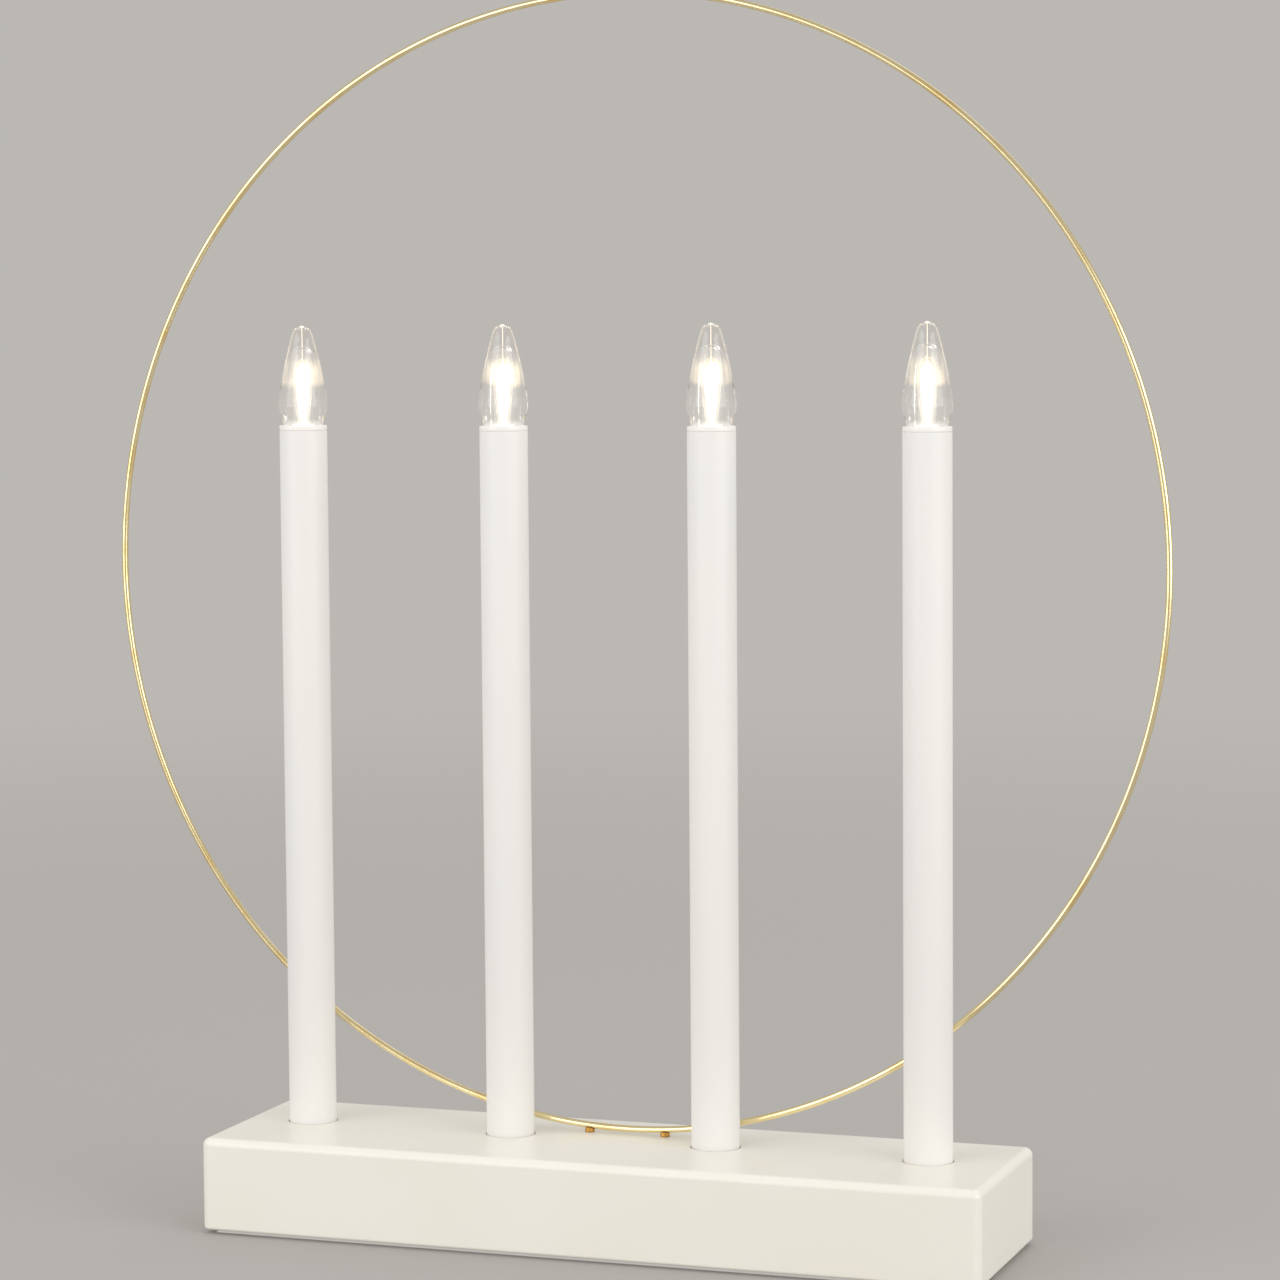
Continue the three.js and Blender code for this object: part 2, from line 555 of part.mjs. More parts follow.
/** One AA cell along X, with its nub towards +X or -X. */
function cell(index, towards) {
  const [radius, nub] = [CELL_DIAMETER / 2, CELL_NUB_DIAMETER / 2];
  const shoulder = CELL_LENGTH - CELL_NUB_LENGTH;
  const body = turned([[0, 0], [radius - CELL_EDGE, 0], [radius, CELL_EDGE], [radius, shoulder - CELL_EDGE],
    [radius - CELL_EDGE, shoulder], [nub, shoulder], [nub, CELL_LENGTH], [0, CELL_LENGTH]]);
  body.rotateY((towards * Math.PI) / 2);
  const minusEnd = BOX_X - towards * (BOX_HALF_LENGTH - MINUS_END);
  return body.translate(minusEnd, cellY(index), CELL_Z);
}

/** The coil that presses on a cell's flat end, from the contact plate at `start`, going `towards` X. */
function contactSpring(start, towards, y) {
  const turns = new THREE.Curve();
  const first = SPRING_WIRE / 2 - SPRING_SUNK;
  const last = SPRING_LENGTH - SPRING_WIRE / 2;
  turns.getPoint = (t, target = new THREE.Vector3()) => {
    const angle = 2 * Math.PI * SPRING_TURNS * t;
    const radius = THREE.MathUtils.lerp(SPRING_BASE_DIAMETER, SPRING_TOP_DIAMETER, t) / 2 - SPRING_WIRE / 2;
    const x = start + towards * THREE.MathUtils.lerp(first, last, t);
    return target.set(x, y + radius * Math.cos(angle), CELL_Z + radius * Math.sin(angle));
  };
  return new THREE.ExtrudeGeometry(roundSection(SPRING_WIRE), {
    extrudePath: turns, steps: 8 * SPRING_TURNS, curveSegments: 3,
  });
}

/** A contact plate at the box's end `side`, with a bump or a spring for each cell that it touches. */
function contact(side, touches, tabY = null) {
  const wall = BOX_X + side * BOX_HALF_LENGTH;
  const back = wall - side * FIT;
  const face = back - side * CONTACT_THICKNESS;
  const [near, far] = [back, face].sort((a, b) => a - b);
  const ys = touches.map(({ index }) => cellY(index));
  const halfWidth = CONTACT_WIDTH / 2;
  const pieces = [boxBetween([near, Math.min(...ys) - halfWidth, CELL_Z - CONTACT_HEIGHT / 2],
    [far, Math.max(...ys) + halfWidth, CELL_Z + CONTACT_HEIGHT / 2])];
  if (tabY !== null) {
    pieces.push(boxBetween([near, tabY - CONTACT_TAB_WIDTH / 2, CELL_Z],
      [far, tabY + CONTACT_TAB_WIDTH / 2, BOX_TOP + CONTACT_TAB_ABOVE_BOX]));
  }
  touches.forEach(({ index, spring }) => {
    const shape = spring ? contactSpring(face, -side, cellY(index)) : contactBump(face, -side, cellY(index));
    pieces.push(shape);
  });
  return join(...pieces);
}

/** The pressed bump that meets a cell's nub, from the middle of the contact plate, going `towards` X. */
function contactBump(face, towards, y) {
  const sunk = CONTACT_THICKNESS / 2;
  const [top, bottom] = [CONTACT_BUMP_TOP_DIAMETER / 2, CONTACT_BUMP_DIAMETER / 2];
  const bump = new THREE.CylinderGeometry(top, bottom, CONTACT_BUMP_HEIGHT + sunk, SIDES_SMALL);
  bump.rotateZ((-towards * Math.PI) / 2);
  return bump.translate(face + (towards * (CONTACT_BUMP_HEIGHT - sunk)) / 2, y, CELL_Z);
}

/** The cover of the battery mouth: a door on a round hinge edge, with a springy latch at the far side. */
function batteryCover() {
  const half = BOX_HALF_LENGTH - COVER_CLEARANCE;
  const [left, right] = [BOX_X - half, BOX_X + half];
  const farEdge = MOUTH_BACK - COVER_CLEARANCE;
  const top = FOOT_HEIGHT + COVER_THICKNESS;
  const panel = boxBetween([left, COVER_AXIS_Y, FOOT_HEIGHT], [right, farEdge, top]);
  const barrel = crosswise(COVER_BARREL_RADIUS, left, right, COVER_AXIS_Y, COVER_AXIS_Z);
  const pins = crosswise(PIN_DIAMETER / 2, left - PIN_LENGTH, right + PIN_LENGTH, COVER_AXIS_Y, COVER_AXIS_Z);
  const ridgeFront = farEdge - LATCH_RIDGE_INSET;
  const ridge = boxBetween([BOX_X - LATCH_RIDGE_WIDTH / 2, ridgeFront, FOOT_HEIGHT - LATCH_RIDGE_HEIGHT],
    [BOX_X + LATCH_RIDGE_WIDTH / 2, ridgeFront + LATCH_RIDGE_DEPTH, top]);
  const slots = [-1, 1].map((side) => {
    const middle = BOX_X + (side * LATCH_WIDTH) / 2;
    return boxBetween([middle - LATCH_SLOT / 2, farEdge - LATCH_LENGTH, 0],
      [middle + LATCH_SLOT / 2, farEdge + THROUGH, BASE_TOP]);
  });
  return cut(join(panel, barrel, pins, ridge), ...slots);
}

/** The slide switch's case: it stands on the plate, under the board, and is open below for the knob. */
function switchCase() {
  const [halfWidth, halfDepth] = [SWITCH_WIDTH / 2, SWITCH_DEPTH / 2];
  const block = boxBetween([BOARD_X - halfWidth, SWITCH_Y - halfDepth, PLATE_TOP],
    [BOARD_X + halfWidth, SWITCH_Y + halfDepth, BOARD_BOTTOM]);
  const reach = KNOB_WIDTH / 2 + KNOB_TRAVEL + KNOB_CLEARANCE;
  const side = KNOB_DEPTH / 2 + FIT;
  const track = boxBetween([BOARD_X - reach, SWITCH_Y - side, 0],
    [BOARD_X + reach, SWITCH_Y + side, PLATE_TOP + KNOB_IN_SWITCH + FIT]);
  return cut(solid(block), track);
}

/** The knob: a short stem from inside the switch to just below the plate, with grip grooves in its end. */
function switchKnob() {
  const bottom = FOOT_HEIGHT - KNOB_BELOW_PLATE;
  const stem = boxBetween([BOARD_X - KNOB_WIDTH / 2, SWITCH_Y - KNOB_DEPTH / 2, bottom],
    [BOARD_X + KNOB_WIDTH / 2, SWITCH_Y + KNOB_DEPTH / 2, PLATE_TOP + KNOB_IN_SWITCH]);
  const grooves = [-1, 0, 1].map((place) => {
    const middle = BOARD_X + place * KNOB_GROOVE_PITCH;
    return boxBetween([middle - KNOB_GROOVE / 2, SWITCH_Y - KNOB_DEPTH, 0],
      [middle + KNOB_GROOVE / 2, SWITCH_Y + KNOB_DEPTH, bottom + KNOB_GROOVE]);
  });
  return cut(solid(stem), ...grooves);
}

function circuitBoard() {
  const board = boxBetween([BOARD_X - BOARD_WIDTH / 2, BOARD_Y - BOARD_DEPTH / 2, BOARD_BOTTOM],
    [BOARD_X + BOARD_WIDTH / 2, BOARD_Y + BOARD_DEPTH / 2, BOARD_TOP]);
  const [hole, bottom, top] = [BOARD_SCREW_DIAMETER / 2 + FIT, BOARD_BOTTOM - THROUGH, BOARD_TOP + THROUGH];
  const holes = [-1, 1].map((side) =>
    upright(hole, bottom, top, boardPostX(side), BOARD_POST_Y, SIDES_SMALL));
  return cut(solid(board), ...holes);
}

/** A small round-headed screw through the board into its post. */
function boardScrew(x, y) {
  const [head, thread] = [BOARD_SCREW_HEAD_DIAMETER / 2, BOARD_SCREW_DIAMETER / 2];
  const bottom = BOARD_TOP - BOARD_SCREW_LENGTH;
  return turned([[0, bottom], [thread, bottom], [thread, BOARD_TOP], [head, BOARD_TOP],
    [head, BOARD_TOP + BOARD_SCREW_HEAD_HEIGHT / 2], [head / 2, BOARD_TOP + BOARD_SCREW_HEAD_HEIGHT],
    [0, BOARD_TOP + BOARD_SCREW_HEAD_HEIGHT]], SIDES_SMALL).translate(x, y, 0);
}

/** The timer chip with three legs on each side. */
function timerChip(x, y) {
  const bottom = BOARD_TOP + CHIP_LEG_WIDTH / 2;
  const body = boxBetween([x - CHIP_WIDTH / 2, y - CHIP_DEPTH / 2, bottom],
    [x + CHIP_WIDTH / 2, y + CHIP_DEPTH / 2, bottom + CHIP_HEIGHT]);
  const legs = [-1, 0, 1].map((place) => {
    const middle = x + place * CHIP_LEG_PITCH;
    const reach = CHIP_DEPTH / 2 + CHIP_LEG_REACH;
    return boxBetween([middle - CHIP_LEG_WIDTH / 2, y - reach, BOARD_TOP],
      [middle + CHIP_LEG_WIDTH / 2, y + reach, bottom + CHIP_LEG_WIDTH]);
  });
  return join(body, ...legs);
}

function capacitor(x, y) {
  const radius = CAPACITOR_DIAMETER / 2;
  const top = BOARD_TOP + CAPACITOR_HEIGHT;
  const can = turned([[0, BOARD_TOP], [radius, BOARD_TOP], [radius, top - CAPACITOR_EDGE],
    [radius - CAPACITOR_EDGE, top], [0, top]]);
  return can.translate(x, y, 0);
}

/** A candle tube, open at both ends. */
function candleTube() {
  const [outside, inside] = [TUBE_DIAMETER / 2, TUBE_DIAMETER / 2 - TUBE_WALL];
  return turned([[inside, TUBE_BOTTOM], [outside, TUBE_BOTTOM], [outside, TUBE_TOP], [inside, TUBE_TOP],
    [inside, TUBE_BOTTOM]], SIDES_LARGE);
}

/** The cap: a disc on the tube, a spigot into it, a low boss for the flame and a hole for the LED. */
function candleCap() {
  const disc = TUBE_DIAMETER / 2;
  const spigot = disc - TUBE_WALL - FIT;
  const bore = spigot - CAP_SPIGOT_WALL;
  const hole = LED_DIAMETER / 2 + FIT;
  const boss = FLAME_BORE_DIAMETER / 2 - FIT;
  const spigotEnd = TUBE_TOP - CAP_SPIGOT_LENGTH;
  return turned([
    [hole, TUBE_TOP],
    [bore, TUBE_TOP],
    [bore, spigotEnd],
    [spigot, spigotEnd],
    [spigot, TUBE_TOP],
    [disc, TUBE_TOP],
    [disc, CAP_TOP],
    [boss, CAP_TOP],
    [boss, CAP_TOP + CAP_BOSS_HEIGHT],
    [hole, CAP_TOP + CAP_BOSS_HEIGHT],
    [hole, TUBE_TOP],
  ], SIDES_LARGE);
}

/** The LED: a round body with a dome, a flange that stops it under the cap, and two legs. */
function led() {
  const [radius, flange] = [LED_DIAMETER / 2, LED_FLANGE_DIAMETER / 2];
  const flangeBottom = TUBE_TOP - LED_FLANGE_HEIGHT;
  const domeBase = flangeBottom + LED_HEIGHT - radius;
  const dome = [30, 60].map((degrees) => {
    const angle = THREE.MathUtils.degToRad(degrees);
    return [radius * Math.cos(angle), domeBase + radius * Math.sin(angle)];
  });
  const body = turned([[0, flangeBottom], [flange, flangeBottom], [flange, TUBE_TOP], [radius, TUBE_TOP],
    [radius, domeBase], ...dome, [0, domeBase + radius]], SIDES_SMALL);
  const half = LED_LEG_WIDTH / 2;
  const legs = [-1, 1].map((side) => {
    const x = (side * LED_LEG_PITCH) / 2;
    const legBottom = flangeBottom - LED_LEG_LENGTH;
    return boxBetween([x - half, -half, legBottom], [x + half, half, flangeBottom + half]);
  });
  return join(body, ...legs);
}

/** The light guide: a bulb-shaped rod with a socket over the LED, standing on the cap's boss. */
function lightGuide() {
  const bottom = CAP_TOP + CAP_BOSS_HEIGHT;
  const [foot, belly] = [GUIDE_FOOT_DIAMETER / 2, GUIDE_DIAMETER / 2];
  const swelling = new THREE.CubicBezierCurve(
    new THREE.Vector2(foot, 0),
    new THREE.Vector2(foot, GUIDE_HEIGHT * 0.2),
    new THREE.Vector2(belly, GUIDE_HEIGHT * 0.35),
    new THREE.Vector2(belly, GUIDE_HEIGHT * 0.62),
  );
  const crown = new THREE.CubicBezierCurve(
    new THREE.Vector2(belly, GUIDE_HEIGHT * 0.62),
    new THREE.Vector2(belly, GUIDE_HEIGHT * 0.85),
    new THREE.Vector2(belly * 0.65, GUIDE_HEIGHT),
    new THREE.Vector2(0, GUIDE_HEIGHT),
  );
  const points = [...swelling.getPoints(4), ...crown.getPoints(5).slice(1)];
  const outline = points.map(({ x, y }) => [x, bottom + y]);
  const socket = LED_DIAMETER / 2 + FIT;
  const socketTop = TUBE_TOP - LED_FLANGE_HEIGHT + LED_HEIGHT + FIT;
  return turned([[0, socketTop], [socket, socketTop], [socket, bottom], ...outline], SIDES_SMALL);
}

const splineThrough = (points) => new THREE.SplineCurve(points.map(([x, y]) => new THREE.Vector2(x, y)));

/** The flame: thick and clear, bored nearly to its tip and open below around the cap's boss. */
function flame() {
  const [neck, belly] = [FLAME_NECK_DIAMETER / 2, FLAME_DIAMETER / 2];
  const shoulder = neck + 0.36 * (belly - neck);
  const outside = splineThrough([
    [neck, 0],
    [shoulder, FLAME_HEIGHT * 0.07],
    [belly, FLAME_HEIGHT * 0.19],
    [belly * 0.935, FLAME_HEIGHT * 0.345],
    [belly * 0.785, FLAME_HEIGHT * 0.55],
    [belly * 0.59, FLAME_HEIGHT * 0.755],
    [belly * 0.41, FLAME_HEIGHT * 0.92],
    [belly * 0.27, FLAME_HEIGHT * 0.975],
    [0, FLAME_HEIGHT],
  ]);
  const bore = FLAME_BORE_DIAMETER / 2;
  const inside = splineThrough([
    [0, FLAME_BORE_HEIGHT],
    [bore * 0.55, FLAME_BORE_HEIGHT * 0.95],
    [bore * 0.9, FLAME_BORE_HEIGHT * 0.75],
    [bore, FLAME_BORE_HEIGHT * 0.4],
    [bore, 0],
  ]);
  const outline = [...inside.getPoints(7), ...outside.getPoints(13)];
  return turned(outline.map(({ x, y }) => [Math.max(x, 0), CAP_TOP + y]), SIDES_MEDIUM);
}

/** The flat twin lead of one candle: down the tube, then along the base to its pad on the board. */
function ledLead(index) {
  const outer = index === 0 || index === CANDLE_COUNT - 1;
  const side = candleX(index) < BOARD_X ? -1 : 1;
  const laneY = BOARD_Y + (outer ? OUTER_LANE : INNER_LANE);
  const padX = BOARD_X + side * (BOARD_WIDTH / 2 - LED_PAD_INSET);
  const top = TUBE_TOP - LED_FLANGE_HEIGHT - LED_LEG_LENGTH - LEAD_END_GAP;
  return lead([
    [candleX(index), ROW_Y, top],
    [candleX(index), ROW_Y, UPPER_LANE_Z],
    [candleX(index), laneY, UPPER_LANE_Z],
    [padX, laneY, UPPER_LANE_Z],
    [padX, laneY, BOARD_TOP + LEAD_END_GAP],
  ], flatSection(LED_LEAD_WIDTH, LED_LEAD_THICKNESS));
}

/** The red lead, from the tab of the first cell to the board. */
function redLead() {
  const tab = BOX_X + BOX_HALF_LENGTH - FIT + LEAD_END_GAP;
  return lead([
    [tab, cellY(0), BATTERY_LANE_Z],
    [BATTERY_PAD_X, cellY(0), BATTERY_LANE_Z],
    [BATTERY_PAD_X, cellY(0), BOARD_TOP + LEAD_END_GAP],
  ], roundSection(LEAD_DIAMETER));
}

/** The black lead, from the tab of the last cell over the box to the board. */
function blackLead() {
  const last = cellY(CELL_COUNT - 1);
  const tab = BOX_X - BOX_HALF_LENGTH + FIT + CONTACT_THICKNESS + LEAD_END_GAP;
  const turnX = BOX_X + BOX_HALF_LENGTH;
  const laneY = BOARD_Y + BLACK_LANE;
  return lead([
    [tab, last, BATTERY_LANE_Z],
    [turnX, last, BATTERY_LANE_Z],
    [turnX, laneY, BATTERY_LANE_Z],
    [BATTERY_PAD_X, laneY, BATTERY_LANE_Z],
    [BATTERY_PAD_X, laneY, BOARD_TOP + LEAD_END_GAP],
  ], roundSection(LEAD_DIAMETER));
}

/** The height of the ring's centre line above the floor at a place along the base. */
function ringHeightAt(x) {
  return RING_CENTRE_Z - (RING_HEIGHT / 2) * Math.sqrt(1 - (x / (RING_WIDTH / 2)) ** 2);
}

const ringAt = (wire) => ovalHoop(RING_WIDTH, RING_HEIGHT, wire).translate(0, RING_Y, RING_CENTRE_Z);

/** A threaded stud under the ring: its collar stands on the base and cups the wire. */
function ringStud(x) {
  const [thread, collar] = [STUD_DIAMETER / 2, STUD_COLLAR_DIAMETER / 2];
  const bottom = CAVITY_ROOF - NUT_HEIGHT - STUD_PAST_NUT;
  const cupTop = ringHeightAt(x) - RING_WIRE_DIAMETER / 2 + STUD_CUP;
  const body = turned([[0, bottom], [thread, bottom], [thread, BASE_TOP], [collar, BASE_TOP],
    [collar, cupTop], [0, cupTop]]);
  return cut(solid(body.translate(x, RING_Y, 0)), ringAt(RING_WIRE_DIAMETER + 2 * FIT));
}

function studNut(x) {
  const nut = upright(NUT_ACROSS_CORNERS / 2, CAVITY_ROOF - NUT_HEIGHT, CAVITY_ROOF, x, RING_Y, 6);
  const bore = upright(STUD_DIAMETER / 2 + FIT, 0, BASE_TOP, x, RING_Y);
  return cut(solid(nut), bore);
}

function addBase() {
  add("base_block", baseBlock(), PAINT);
  add("bottom_plate", bottomPlate(), WHITE_PLASTIC);
  plateScrewPlaces().forEach(([x, y], i) => add(`plate_screw_${i + 1}`, plateScrew(x, y), STEEL));
  const [footX, footY] = [BASE_WIDTH / 2 - FOOT_INSET_X, BASE_DEPTH / 2 - FOOT_INSET_Y];
  [[-1, -1], [1, -1], [-1, 1], [1, 1]].forEach(([sideX, sideY], i) =>
    add(`foot_${i + 1}`, foot(sideX * footX, sideY * footY), RUBBER));
}

function addPower() {
  const last = CELL_COUNT - 1;
  add("battery_box", batteryBox(), BLACK_PLASTIC);
  for (let i = 0; i < CELL_COUNT; i += 1) {
    add(`cell_${i + 1}`, cell(i, i % 2 === 0 ? 1 : -1), CELL_SLEEVE);
  }
  add("contact_plus", contact(1, [{ index: 0 }], cellY(0)), STEEL);
  add("contact_minus", contact(-1, [{ index: last, spring: true }], cellY(last)), STEEL);
  add("bridge_left", contact(-1, [{ index: 0, spring: true }, { index: 1 }]), STEEL);
  add("bridge_right", contact(1, [{ index: 1, spring: true }, { index: 2 }]), STEEL);
  add("battery_cover", batteryCover(), WHITE_PLASTIC);
  add("battery_lead_red", redLead(), RED_LEAD);
  add("battery_lead_black", blackLead(), BLACK_LEAD);
}

function addElectronics() {
  add("circuit_board", circuitBoard(), BOARD_GREEN);
  [-1, 1].forEach((side, i) =>
    add(`board_screw_${i + 1}`, boardScrew(boardPostX(side), BOARD_POST_Y), STEEL));
  add("timer_chip", timerChip(BOARD_X + CHIP_PLACE, BOARD_Y), BLACK_PLASTIC);
  add("capacitor", capacitor(BOARD_X + CAPACITOR_PLACE, BOARD_Y), BLACK_PLASTIC);
  add("switch_case", switchCase(), STEEL);
  add("switch_knob", switchKnob(), BLACK_PLASTIC);
}

function addCandle(index) {
  const candle = new THREE.Group();
  candle.position.set(candleX(index), ROW_Y, 0);
  holder.add(candle);
  const number = index + 1;
  add(`candle_tube_${number}`, candleTube(), CANDLE_WHITE, candle);
  add(`candle_cap_${number}`, candleCap(), CAP_WHITE, candle);
  add(`led_${number}`, led(), WARM_LIGHT, candle);
  add(`light_guide_${number}`, lightGuide(), WARM_LIGHT, candle);
  add(`flame_${number}`, flame(), CLEAR, candle);
  add(`led_lead_${number}`, ledLead(index), WHITE_LEAD);
}

function addRing() {
  add("ring", ringAt(RING_WIRE_DIAMETER), BRASS);
  [-1, 1].forEach((side, i) => {
    const x = (side * STUD_PITCH) / 2;
    add(`ring_stud_${i + 1}`, ringStud(x), BRASS);
    add(`stud_nut_${i + 1}`, studNut(x), STEEL);
  });
}

addBase();
addPower();
addElectronics();
for (let i = 0; i < CANDLE_COUNT; i += 1) addCandle(i);
addRing();

export default holder;
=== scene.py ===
"""Looks of an LED candle holder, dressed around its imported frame.

Four slim white candles with clear flames stand in a row on a painted wooden base, and a thin brass ring
stands behind them. Lengths are metres in the frame's own axes: +Z is up, the front is towards -Y and the
floor is at zero.
"""

import logging
import math
from collections.abc import Callable, Sequence
from dataclasses import dataclass, field
from enum import StrEnum, auto

import bmesh
import bpy
from mathutils import Matrix, Vector


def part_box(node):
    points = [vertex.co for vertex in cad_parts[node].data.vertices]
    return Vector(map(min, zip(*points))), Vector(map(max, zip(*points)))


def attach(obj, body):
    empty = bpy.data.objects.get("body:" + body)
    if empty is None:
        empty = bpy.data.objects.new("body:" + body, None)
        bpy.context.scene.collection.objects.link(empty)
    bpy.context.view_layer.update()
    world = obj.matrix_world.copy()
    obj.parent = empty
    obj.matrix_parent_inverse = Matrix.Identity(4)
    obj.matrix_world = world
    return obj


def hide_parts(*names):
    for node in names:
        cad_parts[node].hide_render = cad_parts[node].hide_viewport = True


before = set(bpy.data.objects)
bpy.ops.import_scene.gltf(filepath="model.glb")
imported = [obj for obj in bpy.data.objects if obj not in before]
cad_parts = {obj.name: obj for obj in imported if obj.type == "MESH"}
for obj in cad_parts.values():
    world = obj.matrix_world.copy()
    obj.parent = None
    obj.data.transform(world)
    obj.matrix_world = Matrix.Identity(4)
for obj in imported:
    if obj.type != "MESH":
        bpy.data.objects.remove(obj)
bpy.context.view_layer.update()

log = logging.getLogger("candle_holder")

MM = 0.001
FIT = 0.3 * MM  # clearance between a piece and the hole that it sits in
MERGE = 0.001 * MM  # points nearer than this become one
LEAST_CORNER = 0.02 * MM  # smallest radius of a block's upright corner
CRISP = 34.0  # degrees from which an edge is shaded as an edge
EASED_FROM = 40.0  # degrees from which an edge is rounded

CANDLES = 4
PLATE_SCREWS = 6
FEET = 4
CELLS = 3
STUDS = 2

Point = tuple[float, float]
Place = tuple[float, float, float]
Colour = tuple[float, float, float]
Piece = bpy.types.Object
Node = bpy.types.Node
Socket = bpy.types.NodeSocket


class Body(StrEnum):
    """Bodies of the frame that the pieces ride on; each value is its name in lower case."""

    HOLDER = auto()
    COVER = auto()
    KNOB = auto()


class Slot(StrEnum):
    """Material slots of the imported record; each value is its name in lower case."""

    PAINTED_WOOD = auto()
    WHITE_PLASTIC = auto()
    STEEL = auto()
    RUBBER = auto()
    BLACK_PLASTIC = auto()
    CELL_CAN = auto()
    CANDLE_WHITE = auto()
    CAP_WHITE = auto()
    LIGHT_GUIDE = auto()
    CLEAR_PLASTIC = auto()
    BRASS = auto()


@dataclass(frozen=True)
class Span:
    """The box of one or more frame nodes."""

    low: Vector
    high: Vector

    @classmethod
    def of(cls, *nodes: str) -> "Span":
        """The box around the named nodes at rest."""
        boxes = [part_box(node) for node in nodes]
        low = Vector(min(box[0][axis] for box in boxes) for axis in range(3))
        high = Vector(max(box[1][axis] for box in boxes) for axis in range(3))
        return cls(low, high)

    @property
    def centre(self) -> Vector:
        """The middle of the box."""
        return (self.low + self.high) / 2

    @property
    def size(self) -> Vector:
        """The box's extent along each axis."""
        return self.high - self.low

    @property
    def axis(self) -> Point:
        """X and Y of the upright axis through the middle."""
        return self.centre.x, self.centre.y


def operator(operation: str, turned_round: bool = False) -> Callable[["Wire", "Wire | float"], "Wire"]:
    """One operator of Wire.

    Args:
        operation: The Math node's operation.
        turned_round: Whether the other value comes first.

    Returns:
        The method, which adds the node.
    """
    def apply(self: "Wire", other: "Wire | float") -> "Wire":
        """Adds the node to the tree."""
        return self.maths(operation, *((other, self) if turned_round else (self, other)))
    return apply


class Wire:
    """A number that runs through a shader tree; each operator on it adds one Math node."""

    def __init__(self, tree: bpy.types.NodeTree, socket: Socket) -> None:
        """Wraps an output socket of the tree."""
        self.tree = tree
        self.socket = socket

    def maths(self, operation: str, *values: "Wire | float") -> "Wire":
        """Adds a Math node.

        Args:
            operation: The node's operation, such as ADD.
            values: Its inputs in order, wires or plain numbers.

        Returns:
            The node's output.
        """
        node = self.tree.nodes.new("ShaderNodeMath")
        node.operation = operation
        for entry, value in zip(node.inputs, values):
            if isinstance(value, Wire):
                self.tree.links.new(value.socket, entry)
            else:
                entry.default_value = value
        return Wire(self.tree, node.outputs[0])

    __add__, __radd__ = operator("ADD"), operator("ADD", turned_round=True)
    __sub__, __rsub__ = operator("SUBTRACT"), operator("SUBTRACT", turned_round=True)
    __mul__, __rmul__ = operator("MULTIPLY"), operator("MULTIPLY", turned_round=True)
    __truediv__, __pow__ = operator("DIVIDE"), operator("POWER")

    def __abs__(self) -> "Wire":
        """This without its sign."""
        return self.maths("ABSOLUTE", self)

    def sine(self) -> "Wire":
        """The sine of this, in radians."""
        return self.maths("SINE", self)

    def most(self, other: "Wire | float") -> "Wire":
        """The larger of this and the other."""
        return self.maths("MAXIMUM", self, other)

    def below(self, limit: float) -> "Wire":
        """1 where this is less than the limit, and 0 elsewhere."""
        return self.maths("LESS_THAN", self, limit)

    def rise(self, low: float, high: float) -> "Wire":
        """A smooth step from 0 at `low` to 1 at `high`."""
        node = self.tree.nodes.new("ShaderNodeMapRange")
        node.interpolation_type = "SMOOTHSTEP"
        self.tree.links.new(self.socket, node.inputs["Value"])
        node.inputs["From Min"].default_value = low
        node.inputs["From Max"].default_value = high
        return Wire(self.tree, node.outputs["Result"])


class Growth:
    """A node tree under construction, for a surface, a world or a shape."""

    def __init__(self, tree: bpy.types.NodeTree) -> None:
        """Wraps the tree."""
        self.tree = tree

    def node(self, kind: str, settings: dict | None = None, **sockets: object) -> Node:
        """Adds any node.

        Args:
            kind: The node's type.
            settings: Its properties, set first.
            sockets: Its inputs by name, with _ for a space: a wire, an output socket or a plain value.

        Returns:
            The new node.
        """
        node = self.tree.nodes.new(kind)
        for key, value in (settings or {}).items():
            setattr(node, key, value)
        for key, value in sockets.items():
            self.feed(next(i for i in node.inputs if i.enabled and i.name == key.replace("_", " ")), value)
        return node

    def feed(self, entry: Socket, value: object) -> None:
        """Links a wire or an output socket to an input, or sets a plain value on it."""
        if isinstance(value, Wire):
            value = value.socket
        if isinstance(value, Socket):
            self.tree.links.new(value, entry)
        elif isinstance(value, tuple) and len(value) == 3 and len(entry.default_value) == 4:
            entry.default_value = (*value, 1.0)
        else:
            entry.default_value = value

    def wire(self, node: Node, output: str | int = 0) -> Wire:
        """One output of a node as a wire."""
        return Wire(self.tree, node.outputs[output])


